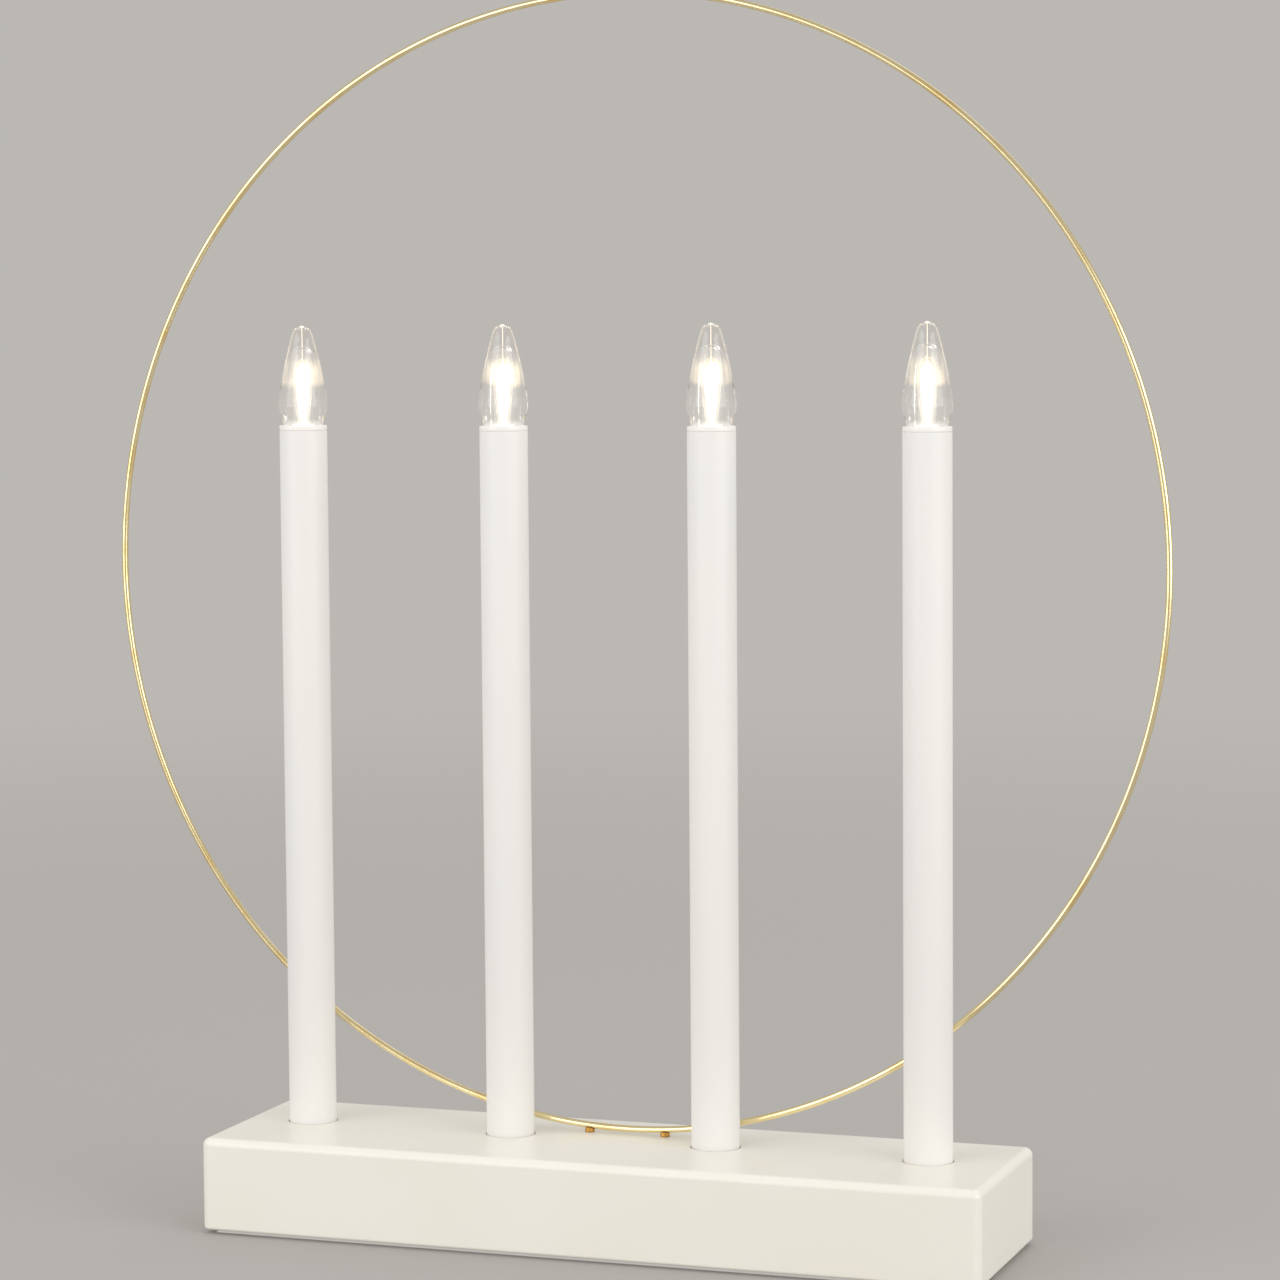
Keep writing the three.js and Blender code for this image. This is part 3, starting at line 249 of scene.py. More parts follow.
class Recipe(Growth):
    """The node tree of one material or world."""

    def __init__(self, owner: "bpy.types.Material | bpy.types.World") -> None:
        """Empties the owner's tree and adds its output."""
        owner.use_nodes = True
        super().__init__(owner.node_tree)
        self.tree.nodes.clear()
        kind = "ShaderNodeOutputWorld" if isinstance(owner, bpy.types.World) else "ShaderNodeOutputMaterial"
        self.output = self.tree.nodes.new(kind)

    def place(self, axis: int) -> Wire:
        """The X, Y or Z place on the object, in metres."""
        where = self.node("ShaderNodeTexCoord").outputs["Object"]
        return self.wire(self.node("ShaderNodeSeparateXYZ", Vector=where), axis)

    def attribute(self, name: str) -> Wire:
        """A number that the piece's mesh carries."""
        return self.wire(self.node("ShaderNodeAttribute", {"attribute_name": name}), "Fac")

    def noise(self, scale: Colour | float, detail: float = 2.0) -> Wire:
        """Noise about 0.5 on object coordinates.

        Args:
            scale: Waves per metre along each axis, or one number for all three.
            detail: How many finer octaves it holds.

        Returns:
            The noise, from 0 to 1.
        """
        scale = scale if isinstance(scale, tuple) else (scale, scale, scale)
        where = self.node("ShaderNodeTexCoord").outputs["Object"]
        stretched = self.node("ShaderNodeMapping", Vector=where, Scale=scale).outputs[0]
        return self.wire(self.node("ShaderNodeTexNoise", Vector=stretched, Scale=1.0, Detail=detail), "Fac")

    def blend(self, first: object, second: object, factor: Wire | float) -> Socket:
        """One colour turning into another as the factor goes from 0 to 1."""
        settings = {"data_type": "RGBA", "clamp_factor": True}
        return self.node("ShaderNodeMix", settings, A=first, B=second, Factor=factor).outputs["Result"]

    def bump(self, height: Wire, depth: float) -> Socket:
        """A normal from a height between 0 and 1 that stands for `depth` metres."""
        return self.node("ShaderNodeBump", Height=height, Distance=depth, Strength=1.0).outputs["Normal"]

    def mixed(self, first: Node, second: Node, factor: Wire) -> Node:
        """One shader turning into another as the factor goes from 0 to 1."""
        mix = self.node("ShaderNodeMixShader", Fac=factor)
        self.feed(mix.inputs[1], first.outputs[0])
        self.feed(mix.inputs[2], second.outputs[0])
        return mix

    def close(self, shader: Node) -> None:
        """Ends the tree with a shader."""
        self.feed(self.output.inputs["Surface"], shader.outputs[0])

    def surface(self, **sockets: object) -> None:
        """Ends the tree with a Principled shader."""
        self.close(self.node("ShaderNodeBsdfPrincipled", **sockets))


class Finish:
    """A surface finish, which lays its own nodes once and is then shared."""

    title: str

    def lay(self, recipe: Recipe) -> None:
        """Lays the finish's nodes."""
        raise NotImplementedError

    def material(self) -> bpy.types.Material:
        """The finish's material, made on its first use."""
        found = bpy.data.materials.get(self.title)
        if found is None:
            found = bpy.data.materials.new(self.title)
            self.lay(Recipe(found))
        return found


@dataclass(frozen=True)
class Paint(Finish):
    """Satin cream paint on wood: faint mottling, roller texture and a trace of the grain below."""

    title: str = "cream_paint"
    colour: Colour = (0.84, 0.815, 0.735)
    warm: Colour = (0.825, 0.795, 0.71)
    roughness: float = 0.31
    texture: float = 0.012 * MM

    def lay(self, recipe: Recipe) -> None:
        """Lays mottled colour, a little uneven gloss and a fine bump."""
        mottle = recipe.noise((14.0, 22.0, 22.0), detail=3.0)
        peel = recipe.noise(420.0, detail=1.0)
        grain = recipe.noise((18.0, 260.0, 260.0), detail=2.0)
        recipe.surface(
            Base_Color=recipe.blend(self.colour, self.warm, mottle.rise(0.35, 0.7)),
            Roughness=self.roughness + 0.05 * (mottle - 0.5) + 0.06 * (peel - 0.5),
            Normal=recipe.bump(0.6 * peel + 0.4 * grain, self.texture),
        )


@dataclass(frozen=True)
class CandleSheath(Finish):
    """Satin white tube with faint drawing lines along its length."""

    title: str = "satin_candle_white"
    colour: Colour = (0.825, 0.80, 0.765)
    cool: Colour = (0.81, 0.795, 0.77)
    roughness: float = 0.46
    texture: float = 0.012 * MM

    def lay(self, recipe: Recipe) -> None:
        """Lays a slightly uneven white, lines along Z and a fine grain."""
        cloud = recipe.noise((40.0, 40.0, 9.0), detail=2.0)
        lines = recipe.noise((900.0, 900.0, 6.0), detail=2.0)
        grain = recipe.noise(1600.0, detail=1.0)
        recipe.surface(
            Base_Color=recipe.blend(self.colour, self.cool, cloud.rise(0.35, 0.65)),
            Roughness=self.roughness + 0.08 * (lines - 0.5),
            Normal=recipe.bump(0.5 * lines + 0.5 * grain, self.texture),
        )


@dataclass(frozen=True)
class LitCap(Finish):
    """Translucent white disc with a painted warm glow around the flame's foot, for the LED's light shining
    through it.
    """

    title: str = "lit_cap"
    colour: Colour = (0.90, 0.87, 0.83)
    glow: Colour = (1.0, 0.86, 0.62)
    dark: Colour = (0.0, 0.0, 0.0)
    glow_reach: float = 8.4 * MM
    strength: float = 0.18

    def lay(self, recipe: Recipe) -> None:
        """Lays white with a painted glow that fades towards the rim."""
        # Painted glow: the LED's light through the disc, strongest near the flame's foot and fading towards
        # the rim.
        near = 1.0 - recipe.attribute("reach").rise(0.2 * self.glow_reach, self.glow_reach)
        grain = recipe.noise(1500.0, detail=1.0)
        recipe.surface(
            Base_Color=self.colour,
            Roughness=0.3 + 0.08 * (grain - 0.5),
            Emission_Color=recipe.blend(self.dark, self.glow, near),
            Emission_Strength=self.strength,
            Normal=recipe.bump(grain, 0.008 * MM),
        )


@dataclass(frozen=True)
class ClearFlame(Finish):
    """Polished clear plastic with faint flow waves, and painted glow for the guide's light in it: faint all
    over, warm where that light strikes it and at its foot.
    """

    title: str = "clear_flame"
    colour: Colour = (0.99, 0.985, 0.97)
    faint: Colour = (0.15, 0.143, 0.13)
    glow: Colour = (1.0, 0.82, 0.55)
    foot_glow: Colour = (0.55, 0.52, 0.47)
    height: float = 37.6 * MM
    strength: float = 0.22

    def lay(self, recipe: Recipe) -> None:
        """Lays a clear body with a nearly smooth surface, with painted glow at its foot and in a band at
        mid-height.
        """
        flow = recipe.noise((160.0, 160.0, 60.0), detail=1.0)
        patches = recipe.noise((110.0, 110.0, 60.0), detail=1.0)
        level = recipe.attribute("rise") / self.height
        rise = level + 0.16 * (patches - 0.5)
        # Painted glow: a warm band at mid-height and a glow at the foot, on top of a faint glow all over.
        band = rise.rise(0.38, 0.43) * (1.0 - rise.rise(0.55, 0.70)) * patches.rise(0.3, 0.62)
        foot = 1.0 - level.rise(0.02, 0.08)
        recipe.surface(
            Base_Color=self.colour,
            Roughness=0.015 + 0.02 * flow,
            IOR=1.49,
            Transmission_Weight=1.0,
            Emission_Color=recipe.blend(recipe.blend(self.faint, self.glow, band), self.foot_glow, foot),
            Emission_Strength=self.strength,
            Normal=recipe.bump(flow, 0.05 * MM),
        )


@dataclass(frozen=True)
class FrostedGuide(Finish):
    """Frosted light guide, which blurs the lit channel inside it."""

    title: str = "frosted_guide"
    colour: Colour = (1.0, 0.97, 0.91)
    glow: Colour = (1.0, 0.90, 0.72)
    strength: float = 0.05

    def lay(self, recipe: Recipe) -> None:
        """Lays a rough clear body with a faint painted glow, which stands for the LED's light scattered in it.
        """
        frost = recipe.noise(900.0, detail=1.0)
        recipe.surface(
            Base_Color=self.colour,
            Roughness=0.6 + 0.1 * (frost - 0.5),
            IOR=1.12,
            Transmission_Weight=1.0,
            Emission_Color=self.glow,
            Emission_Strength=self.strength,
            Normal=recipe.bump(frost, 0.01 * MM),
        )


@dataclass(frozen=True)
class LitCore(Finish):
    """Painted glow that stands for the LED's light inside a guide, on a shape that is no real part: brightest
    in its belly, warmer at its foot and crown.
    """

    title: str = "lit_core"
    colour: Colour = (0.95, 0.9, 0.8)
    bright: Colour = (1.0, 0.93, 0.80)
    warm: Colour = (0.42, 0.31, 0.18)
    height: float = 22 * MM
    strength: float = 1.1

    def lay(self, recipe: Recipe) -> None:
        """Lays an emission that swells and fades with the height above the foot."""
        rise = recipe.attribute("rise") / self.height
        bell = rise.rise(0.0, 0.42) * (1.0 - rise.rise(0.8, 1.15))
        recipe.surface(
            Base_Color=self.colour,
            Roughness=0.4,
            Emission_Color=recipe.blend(self.warm, self.bright, bell),
            Emission_Strength=self.strength,
        )


@dataclass(frozen=True)
class LedLens(Finish):
    """Clear epoxy of a lit LED."""

    title: str = "lit_led_lens"
    colour: Colour = (1.0, 0.9, 0.72)
    warm: Colour = (1.0, 0.86, 0.6)
    bright: Colour = (1.0, 0.95, 0.82)
    strength: float = 4.0

    def lay(self, recipe: Recipe) -> None:
        """Lays a bright warm lens with a faintly uneven glow."""
        cloud = recipe.noise(600.0)
        recipe.surface(
            Base_Color=self.colour,
            Roughness=0.15,
            Emission_Color=recipe.blend(self.warm, self.bright, cloud),
            Emission_Strength=self.strength,
        )


@dataclass(frozen=True)
class PolishedBrass(Finish):
    """Polished brass wire with hairlines from the drawing plate."""

    title: str = "polished_brass"
    colour: Colour = (0.97, 0.83, 0.49)
    deep: Colour = (0.90, 0.66, 0.27)
    roughness: float = 0.2

    def lay(self, recipe: Recipe) -> None:
        """Lays warm metal with slight tarnish clouds and fine lines."""
        tarnish = recipe.noise(60.0, detail=3.0)
        hair = recipe.noise(2400.0, detail=1.0)
        recipe.surface(
            Base_Color=recipe.blend(self.colour, self.deep, tarnish.rise(0.45, 0.8)),
            Metallic=1.0,
            Roughness=self.roughness + 0.1 * (tarnish - 0.5) + 0.05 * (hair - 0.5),
            Normal=recipe.bump(hair, 0.004 * MM),
        )


# The studs' brass: rougher, with a darker colour that is painted shade for the shadow they stand in.
DULL_SHADED_BRASS = PolishedBrass("dull_shaded_brass", (0.72, 0.40, 0.10), (0.55, 0.27, 0.05), 0.34)


@dataclass(frozen=True)
class MouldedPlastic(Finish):
    """Injection-moulded plastic with a fine spark texture."""

    title: str
    colour: Colour
    roughness: float = 0.5
    texture: float = 0.03 * MM

    def lay(self, recipe: Recipe) -> None:
        """Lays one colour with faint clouds and a spark texture."""
        cloud = recipe.noise(30.0)
        spark = recipe.noise(1400.0, detail=2.0)
        darker = tuple(0.97 * channel for channel in self.colour)
        recipe.surface(
            Base_Color=recipe.blend(self.colour, darker, cloud.rise(0.3, 0.8)),
            Roughness=self.roughness + 0.14 * (spark - 0.5),
            Normal=recipe.bump(spark, self.texture),
        )


@dataclass(frozen=True)
class NickelSteel(Finish):
    """Nickel-plated steel with fine brushing."""

    title: str = "nickel_steel"
    colour: Colour = (0.62, 0.61, 0.58)
    dull: Colour = (0.5, 0.48, 0.45)

    def lay(self, recipe: Recipe) -> None:
        """Lays metal with slightly uneven gloss."""
        cloud = recipe.noise(200.0, detail=3.0)
        brush = recipe.noise((3000.0, 300.0, 300.0), detail=2.0)
        recipe.surface(
            Base_Color=recipe.blend(self.colour, self.dull, cloud.rise(0.4, 0.8)),
            Metallic=1.0,
            Roughness=0.24 + 0.2 * (brush - 0.5),
            Normal=recipe.bump(brush, 0.004 * MM),
        )


@dataclass(frozen=True)
class CellSleeve(Finish):
    """A cell's shrink sleeve: dark body, copper-toned collar at the plus end, bare steel at both ends."""

    title: str = "cell_sleeve"
    body: Colour = (0.035, 0.05, 0.075)
    collar: Colour = (0.55, 0.29, 0.12)
    steel: Colour = (0.62, 0.61, 0.58)
    length: float = 50 * MM

    def lay(self, recipe: Recipe) -> None:
        """Lays the bands by the height above the cell's flat end."""
        along = recipe.attribute("rise") / self.length
        collar = along.rise(0.745, 0.75)
        bare = 1.0 - along.rise(0.008, 0.012) * (1.0 - along.rise(0.962, 0.966))
        sleeve = recipe.blend(self.body, self.collar, collar)
        wrinkle = recipe.noise((300.0, 900.0, 900.0), detail=2.0)
        recipe.surface(
            Base_Color=recipe.blend(sleeve, self.steel, bare),
            Metallic=bare.most(0.6 * collar),
            Roughness=0.28 + 0.1 * (wrinkle - 0.5),
            Normal=recipe.bump(wrinkle, 0.02 * MM),
        )


@dataclass(frozen=True)
class BoardMask(Finish):
    """Green solder mask with paler copper tracks under it."""

    title: str = "solder_mask"
    colour: Colour = (0.012, 0.13, 0.05)
    track: Colour = (0.03, 0.22, 0.09)

    def lay(self, recipe: Recipe) -> None:
        """Lays tracks as thin bands of a stretched wave."""
        sway = recipe.noise((140.0, 60.0, 60.0), detail=0.0)
        bands = (2100.0 * recipe.place(1) + 9.0 * sway).sine()
        track = bands.rise(0.55, 0.7)
        recipe.surface(
            Base_Color=recipe.blend(self.colour, self.track, track),
            Roughness=0.3,
            Normal=recipe.bump(track, 0.03 * MM),
        )


WHITE_MOULDING = MouldedPlastic("white_moulding", (0.72, 0.70, 0.64))
BLACK_MOULDING = MouldedPlastic("black_moulding", (0.013, 0.013, 0.014), 0.45)
GREY_RUBBER = MouldedPlastic("grey_rubber", (0.16, 0.15, 0.14), 0.85, 0.06 * MM)
RED_SHEATH = MouldedPlastic("red_sheath", (0.45, 0.02, 0.012), 0.4, 0.01 * MM)
BLACK_SHEATH = MouldedPlastic("black_sheath", (0.012, 0.012, 0.012), 0.4, 0.01 * MM)
WHITE_SHEATH = MouldedPlastic("white_sheath", (0.76, 0.74, 0.70), 0.4, 0.01 * MM)


def arc(centre: Point, radius: float, start: float, end: float, steps: int = 4) -> list[Point]:
    """Points on an arc of an outline, from one angle to another in degrees."""
    turns = [math.radians(start + (end - start) * i / steps) for i in range(steps + 1)]
    return [(centre[0] + radius * math.cos(turn), centre[1] + radius * math.sin(turn)) for turn in turns]


def spline(points: Sequence[Point], steps: int) -> list[Point]:
    """A smooth outline through a few points.

    Args:
        points: The points that it passes.
        steps: How many steps it takes between two of them.

    Returns:
        The outline's points, both ends included.
    """
    padded = [points[0], *points, points[-1]]
    made = []
    for i in range(len(points) - 1):
        before, here, after, beyond = (Vector(point) for point in padded[i:i + 4])
        for step in range(steps):
            t = step / steps
            bend = (2 * before - 5 * here + 4 * after - beyond) * t * t
            twist = (3 * here - before - 3 * after + beyond) * t * t * t
            made.append(tuple(0.5 * (2 * here + (after - before) * t + bend + twist)))
    return [*made, points[-1]]


def bezier(points: Sequence[Point], steps: int) -> list[Point]:
    """A cubic Bezier stretch of an outline, both ends included."""
    start, first, second, end = (Vector(point) for point in points)
    made = []
    for step in range(steps + 1):
        t, s = step / steps, 1 - step / steps
        made.append(tuple(s**3 * start + 3 * s * s * t * first + 3 * s * t * t * second + t**3 * end))
    return made


def placed(name: str, data: bpy.types.ID) -> Piece:
    """An object at the origin of the scene that holds the mesh, lamp or camera data."""
    piece = bpy.data.objects.new(name, data)
    bpy.context.scene.collection.objects.link(piece)
    return piece


def new_piece(name: str, vertices: Sequence[Sequence[float]], faces: Sequence[Sequence[int]]) -> Piece:
    """A mesh object at the origin, smooth except at its crisp edges."""
    mesh = bpy.data.meshes.new(name)
    mesh.from_pydata([tuple(vertex) for vertex in vertices], [], faces)
    mesh.validate()
    return smoothed(placed(name, mesh))


def smoothed(piece: Piece, crisp: float = CRISP) -> Piece:
    """Shades a piece smooth, and keeps edges sharper than `crisp` degrees."""
    mesh = piece.data
    mesh.polygons.foreach_set("use_smooth", [True] * len(mesh.polygons))
    mesh.set_sharp_from_angle(angle=math.radians(crisp))
    return piece


def turned(name: str, outline: Sequence[Point], centre: Point, sides: int = 64) -> Piece:
    """A turned piece about an upright axis.

    Args:
        name: The piece's name.
        outline: Radius and height of each point, going up the outside. A closed outline ends at its start.
        centre: X and Y of the axis.
        sides: Faces around it.

    Returns:
        The piece, whose mesh carries each point's height above the foot as `rise` and its radius as `reach`.
    """
    closed = outline[0] == outline[-1]
    points = list(outline[:-1] if closed else outline)
    foot = min(height for _, height in points)
    vertices, rises, reaches, rings = [], [], [], []
    for radius, height in points:
        count = sides if radius > MERGE else 1
        rings.append([len(vertices) + i for i in range(count)])
        for i in range(count):
            turn = 2 * math.pi * i / sides
            vertices.append((centre[0] + radius * math.cos(turn), centre[1] + radius * math.sin(turn), height))
            rises.append(height - foot)
            reaches.append(radius)
    if closed:
        rings.append(rings[0])
    faces = []
    for low, high in zip(rings, rings[1:]):
        for i in range(sides):
            j = (i + 1) % sides
            if len(low) > 1 and len(high) > 1:
                faces.append((low[i], low[j], high[j], high[i]))
            elif len(high) > 1:
                faces.append((low[0], high[j], high[i]))
            elif len(low) > 1:
                faces.append((low[i], low[j], high[0]))
    piece = new_piece(name, vertices, faces)
    for title, values in (("rise", rises), ("reach", reaches)):
        piece.data.attributes.new(title, "FLOAT", "POINT").data.foreach_set("value", values)
    return piece


def pin(name: str, radius: float, low: float, high: float, centre: Point, sides: int) -> Piece:
    """A plain upright pin from one height to another."""
    return turned(name, [(0, low), (radius, low), (radius, high), (0, high)], centre, sides)


def rounded_rectangle(width: float, depth: float, radius: float, steps: int) -> list[Point]:
    """The corners of a rectangle about the origin, each rounded by an arc."""
    x, y = width / 2 - radius, depth / 2 - radius
    corners = [((x, y), 0), ((-x, y), 90), ((-x, -y), 180), ((x, -y), 270)]
    return [point for centre, start in corners for point in arc(centre, radius, start, start + 90, steps)]


@dataclass(frozen=True)
class Block:
    """A block with round upright corners and its own roundings above and below."""

    span: Span
    corner: float
    top: float
    bottom: float
    steps: int = 6

    def layers(self) -> list[Point]:
        """How far each layer is drawn in, and its height, from below to above."""
        low, high = self.span.low.z, self.span.high.z
        below = arc((self.bottom, low + self.bottom), self.bottom, 270, 180, self.steps)
        above = arc((self.top, high - self.top), self.top, 180, 90, self.steps)
        return [*below, *above]

    def build(self, name: str) -> Piece:
        """The block as a piece, with one flat face above and one below."""
        size, middle = self.span.size, self.span.centre
        vertices, rings = [], []
        for inset, height in self.layers():
            radius = max(self.corner - inset, LEAST_CORNER)
            ring = rounded_rectangle(size.x - 2 * inset, size.y - 2 * inset, radius, self.steps)
            rings.append(range(len(vertices), len(vertices) + len(ring)))
            vertices += [(middle.x + x, middle.y + y, height) for x, y in ring]
        faces = [tuple(reversed(rings[0])), tuple(rings[-1])]
        for low, high in zip(rings, rings[1:]):
            count = len(low)
            faces += [(low[i], low[(i + 1) % count], high[(i + 1) % count], high[i]) for i in range(count)]
        return new_piece(name, vertices, faces)


def settled(piece: Piece) -> Piece:
    """Turns what the piece's modifiers make into its own plain mesh."""
    graph = bpy.context.evaluated_depsgraph_get()
    made = bpy.data.meshes.new_from_object(piece.evaluated_get(graph))
    piece.modifiers.clear()
    piece.data = made
    return piece


def from_shape(name: str, shape: bmesh.types.BMesh) -> Piece:
    """A mesh object at the origin from a bmesh, which is freed."""
    mesh = bpy.data.meshes.new(name)
    shape.to_mesh(mesh)
    shape.free()
    return placed(name, mesh)


def joined(name: str, pieces: Sequence[Piece]) -> Piece:
    """One object with the meshes of several, which are removed."""
    whole = bmesh.new()
    for piece in pieces:
        whole.from_mesh(piece.data)
        bpy.data.objects.remove(piece)
    return from_shape(name, whole)


def carved(piece: Piece, cutters: Sequence[Piece]) -> Piece:
    """Takes the cutters out of a piece and removes them."""
    for cutter in cutters:
        cut = piece.modifiers.new("cut", "BOOLEAN")
        cut.operation = "DIFFERENCE"
        cut.solver = "EXACT"
        cut.object = cutter
        settled(piece)
        bpy.data.objects.remove(cutter)
    return piece


def flat_shaded_true(piece: Piece, crisp: float = CRISP) -> Piece:
    """Smooth shading in which the large flat faces stay flat up to their roundings."""
    smoothed(piece, crisp)
    weigh = piece.modifiers.new("weigh", "WEIGHTED_NORMAL")
    weigh.keep_sharp = True
    return settled(piece)


def eased(node: str, name: str, radius: float) -> Piece:
    """A copy of a frame node with its sharp edges rounded.

    Args:
        node: The frame node that it is made from.
        name: The new piece's name.
        radius: The rounding, at most.

    Returns:
        The new piece.
    """
    shape = bmesh.new()
    shape.from_mesh(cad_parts[node].data)
    bmesh.ops.remove_doubles(shape, verts=shape.verts, dist=MERGE)
    bmesh.ops.dissolve_limit(shape, angle_limit=math.radians(1), verts=shape.verts, edges=shape.edges)
    piece = from_shape(name, shape)
    ease = piece.modifiers.new("ease", "BEVEL")
    ease.width = radius
    ease.segments = 2
    ease.limit_method = "ANGLE"
    ease.angle_limit = math.radians(EASED_FROM)
    return flat_shaded_true(settled(piece))


def dressed(piece: Piece, finish: Finish, slot: Slot, body: Body, *nodes: str) -> Piece:
    """Gives a finished piece its material and body, and hides the nodes that it stands for."""
    piece.data.materials.clear()
    piece.data.materials.append(finish.material())
    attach(piece, body.value)
    if nodes:
        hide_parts(*nodes)
    log.info("%s: %d faces, %s, on %s", piece.name, len(piece.data.polygons), finish.title, body.value)
    return piece


def coated(finish: Finish, *nodes: str) -> None:
    """Gives frame nodes that stay their own material."""
    for node in nodes:
        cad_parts[node].material_slots[0].material = finish.material()
        log.info("%s: frame node, %s", node, finish.title)


class Rule(Growth):
    """A Geometry Nodes tree, which makes one piece from named sizes."""

    def __init__(self, title: str) -> None:
        """Starts the tree with an input and an output for the piece's mesh."""
        super().__init__(bpy.data.node_groups.new(title, "GeometryNodeTree"))
        self.tree.interface.new_socket("Geometry", in_out="INPUT", socket_type="NodeSocketGeometry")
        self.tree.interface.new_socket("Geometry", in_out="OUTPUT", socket_type="NodeSocketGeometry")
        self.start = self.tree.nodes.new("NodeGroupInput")
        self.end = self.tree.nodes.new("NodeGroupOutput")
        self.given: dict[str, str] = {}

    def size(self, name: str, kind: str = "Float") -> Wire:
        """Adds a named input."""
        entry = self.tree.interface.new_socket(name, in_out="INPUT", socket_type=f"NodeSocket{kind}")
        self.given[name] = entry.identifier
        return self.wire(self.start, name)

    def close(self, shape: Node) -> None:
        """Ends the tree: instances become real and take the material."""
        real = self.node("GeometryNodeRealizeInstances", Geometry=shape.outputs[0])
        material = self.size("Finish", "Material")
        made = self.node("GeometryNodeSetMaterial", Geometry=real.outputs[0], Material=material)
        self.feed(self.end.inputs[0], made.outputs[0])

    def make(self, piece: Piece, **sizes: object) -> Piece:
        """Runs the tree on a piece with the given sizes and keeps the result as its plain mesh."""
        modifier = piece.modifiers.new(self.tree.name, "NODES")
        modifier.node_group = self.tree
        for name, value in sizes.items():
            modifier[self.given[name]] = value
        return settled(piece)


def hoop_rule() -> Rule:
    """An oval hoop of round wire, upright about the origin, from its width, height and wire."""
    rule = Rule("oval_hoop")
    width, height, wire = rule.size("Width"), rule.size("Height"), rule.size("Wire")
    circle = rule.node("GeometryNodeCurvePrimitiveCircle", Resolution=384, Radius=0.5)
    parts = rule.node("ShaderNodeSeparateXYZ", Vector=rule.node("GeometryNodeInputPosition").outputs[0])
    across, up = rule.wire(parts, "X") * width, rule.wire(parts, "Y") * height
    oval = rule.node("ShaderNodeCombineXYZ", X=across, Z=up)
    line = rule.node("GeometryNodeSetPosition", Geometry=circle.outputs["Curve"], Position=oval.outputs[0])
    section = rule.node("GeometryNodeCurvePrimitiveCircle", Resolution=20, Radius=wire * 0.5).outputs["Curve"]
    rule.close(rule.node("GeometryNodeCurveToMesh", Curve=line.outputs[0], Profile_Curve=section))
    return rule


def copies_rule() -> Rule:
    """Copies of one pattern piece at each point of the mesh that it runs on."""
    rule = Rule("copies_at_points")
    pattern, points = rule.size("Pattern", "Object"), rule.start.outputs["Geometry"]
    shape = rule.node("GeometryNodeObjectInfo", {"transform_space": "ORIGINAL"}, Object=pattern)
    rule.close(rule.node("GeometryNodeInstanceOnPoints", Points=points, Instance=shape.outputs["Geometry"]))
    return rule


def copies(name: str, pattern: Piece, places: Sequence[Place], finish: Finish) -> Piece:
    """One piece that holds a copy of the pattern at each place; the pattern is removed."""
    points = new_piece(name, places, [])
    made = copies_rule().make(points, Pattern=pattern, Finish=finish.material())
    bpy.data.objects.remove(pattern)
    return made


@dataclass
class WoodenBase:
    """The painted block: rounded above, routed below, bored for the tubes and the ring's studs."""

    span: Span = field(default_factory=lambda: Span.of("base_block"))
    corner: float = 3.3 * MM
    top_edge: float = 3.0 * MM
    bottom_edge: float = 1.3 * MM
    bore_edge: float = 0.25 * MM
    seat_depth: float = 6.0 * MM
    roof: float = 10.0 * MM
    lead_hole: float = 2.5 * MM
    stud_hole: float = 1.55 * MM
    rebate_margin: float = 4.0 * MM
    rebate_depth: float = 3.0 * MM
    rebate_corner: float = 3.3 * MM
    rebate_edge: float = 0.1 * MM
    cavity_past_candles: float = 5.5 * MM
    cavity_depth: float = 56.0 * MM
    cavity_corner: float = 5.0 * MM
    cavity_edge: float = 0.3 * MM
    pillar: float = 4.5 * MM
    pilot: float = 1.8 * MM
    past: float = 2.0 * MM
    crisp: float = 30.0

    def build(self) -> None:
        """Builds the block and dresses it."""
        block = Block(self.span, self.corner, self.top_edge, self.bottom_edge, 8).build("painted_base")
        carved(block, [self.bores(), *self.routed()])
        flat_shaded_true(block, self.crisp)
        dressed(block, Paint(), Slot.PAINTED_WOOD, Body.HOLDER, "base_block")

    def bores(self) -> Piece:
        """The tubes' stepped bores and the studs' holes, each with a small edge break above."""
        top, edge, seat = self.span.high.z, self.bore_edge, self.span.high.z - self.seat_depth
        above, below = top + self.past, top - self.roof - self.past
        cutters = []
        for number in range(1, CANDLES + 1):
            tube = Span.of(f"candle_tube_{number}")
            bore = tube.size.x / 2 + FIT
            outline = [
                (0, below), (self.lead_hole, below), (self.lead_hole, seat), (bore, seat),
                (bore, top - edge), (bore + edge, top), (bore + edge, above), (0, above),
            ]
            cutters.append(turned("bore", outline, tube.axis, 96))
        for number in range(1, STUDS + 1):
            cutters.append(pin("hole", self.stud_hole, below, above, Span.of(f"ring_stud_{number}").axis, 24))
        return joined("bores", cutters)

    def routed(self) -> list[Piece]:
        """What is routed out below: the plate's rebate, and the cavity around the screws' pillars."""
        low, high, edge = self.span.low, self.span.high, self.cavity_edge
        under = low.z - self.past
        first, last = Span.of("candle_tube_1").centre.x, Span.of(f"candle_tube_{CANDLES}").centre.x
        reach, deep = self.cavity_past_candles, self.cavity_depth / 2
        room = Span(Vector((first - reach, -deep, under)), Vector((last + reach, deep, high.z - self.roof)))
        cavity = Block(room, self.cavity_corner, edge, edge, 3).build("cavity")
        screws = [Span.of(f"plate_screw_{number}").axis for number in range(1, PLATE_SCREWS + 1)]
        pillars = [pin("pillar", self.pillar, under - self.past, high.z, at, 32) for at in screws]
        carved(cavity, [joined("pillars", pillars)])
        inset = Vector((self.rebate_margin, self.rebate_margin, 0))
        start, end = Vector((*low.xy, under)) + inset, Vector((*high.xy, low.z + self.rebate_depth)) - inset
        ledge, broken = Span(start, end), self.rebate_edge
        rebate = Block(ledge, self.rebate_corner, broken, broken, 3).build("rebate")
        top = Span.of("plate_screw_1").high.z + FIT
        pilots = joined("pilots", [pin("pilot", self.pilot, 0, top, at, 16) for at in screws])
        return [cavity, rebate, pilots]


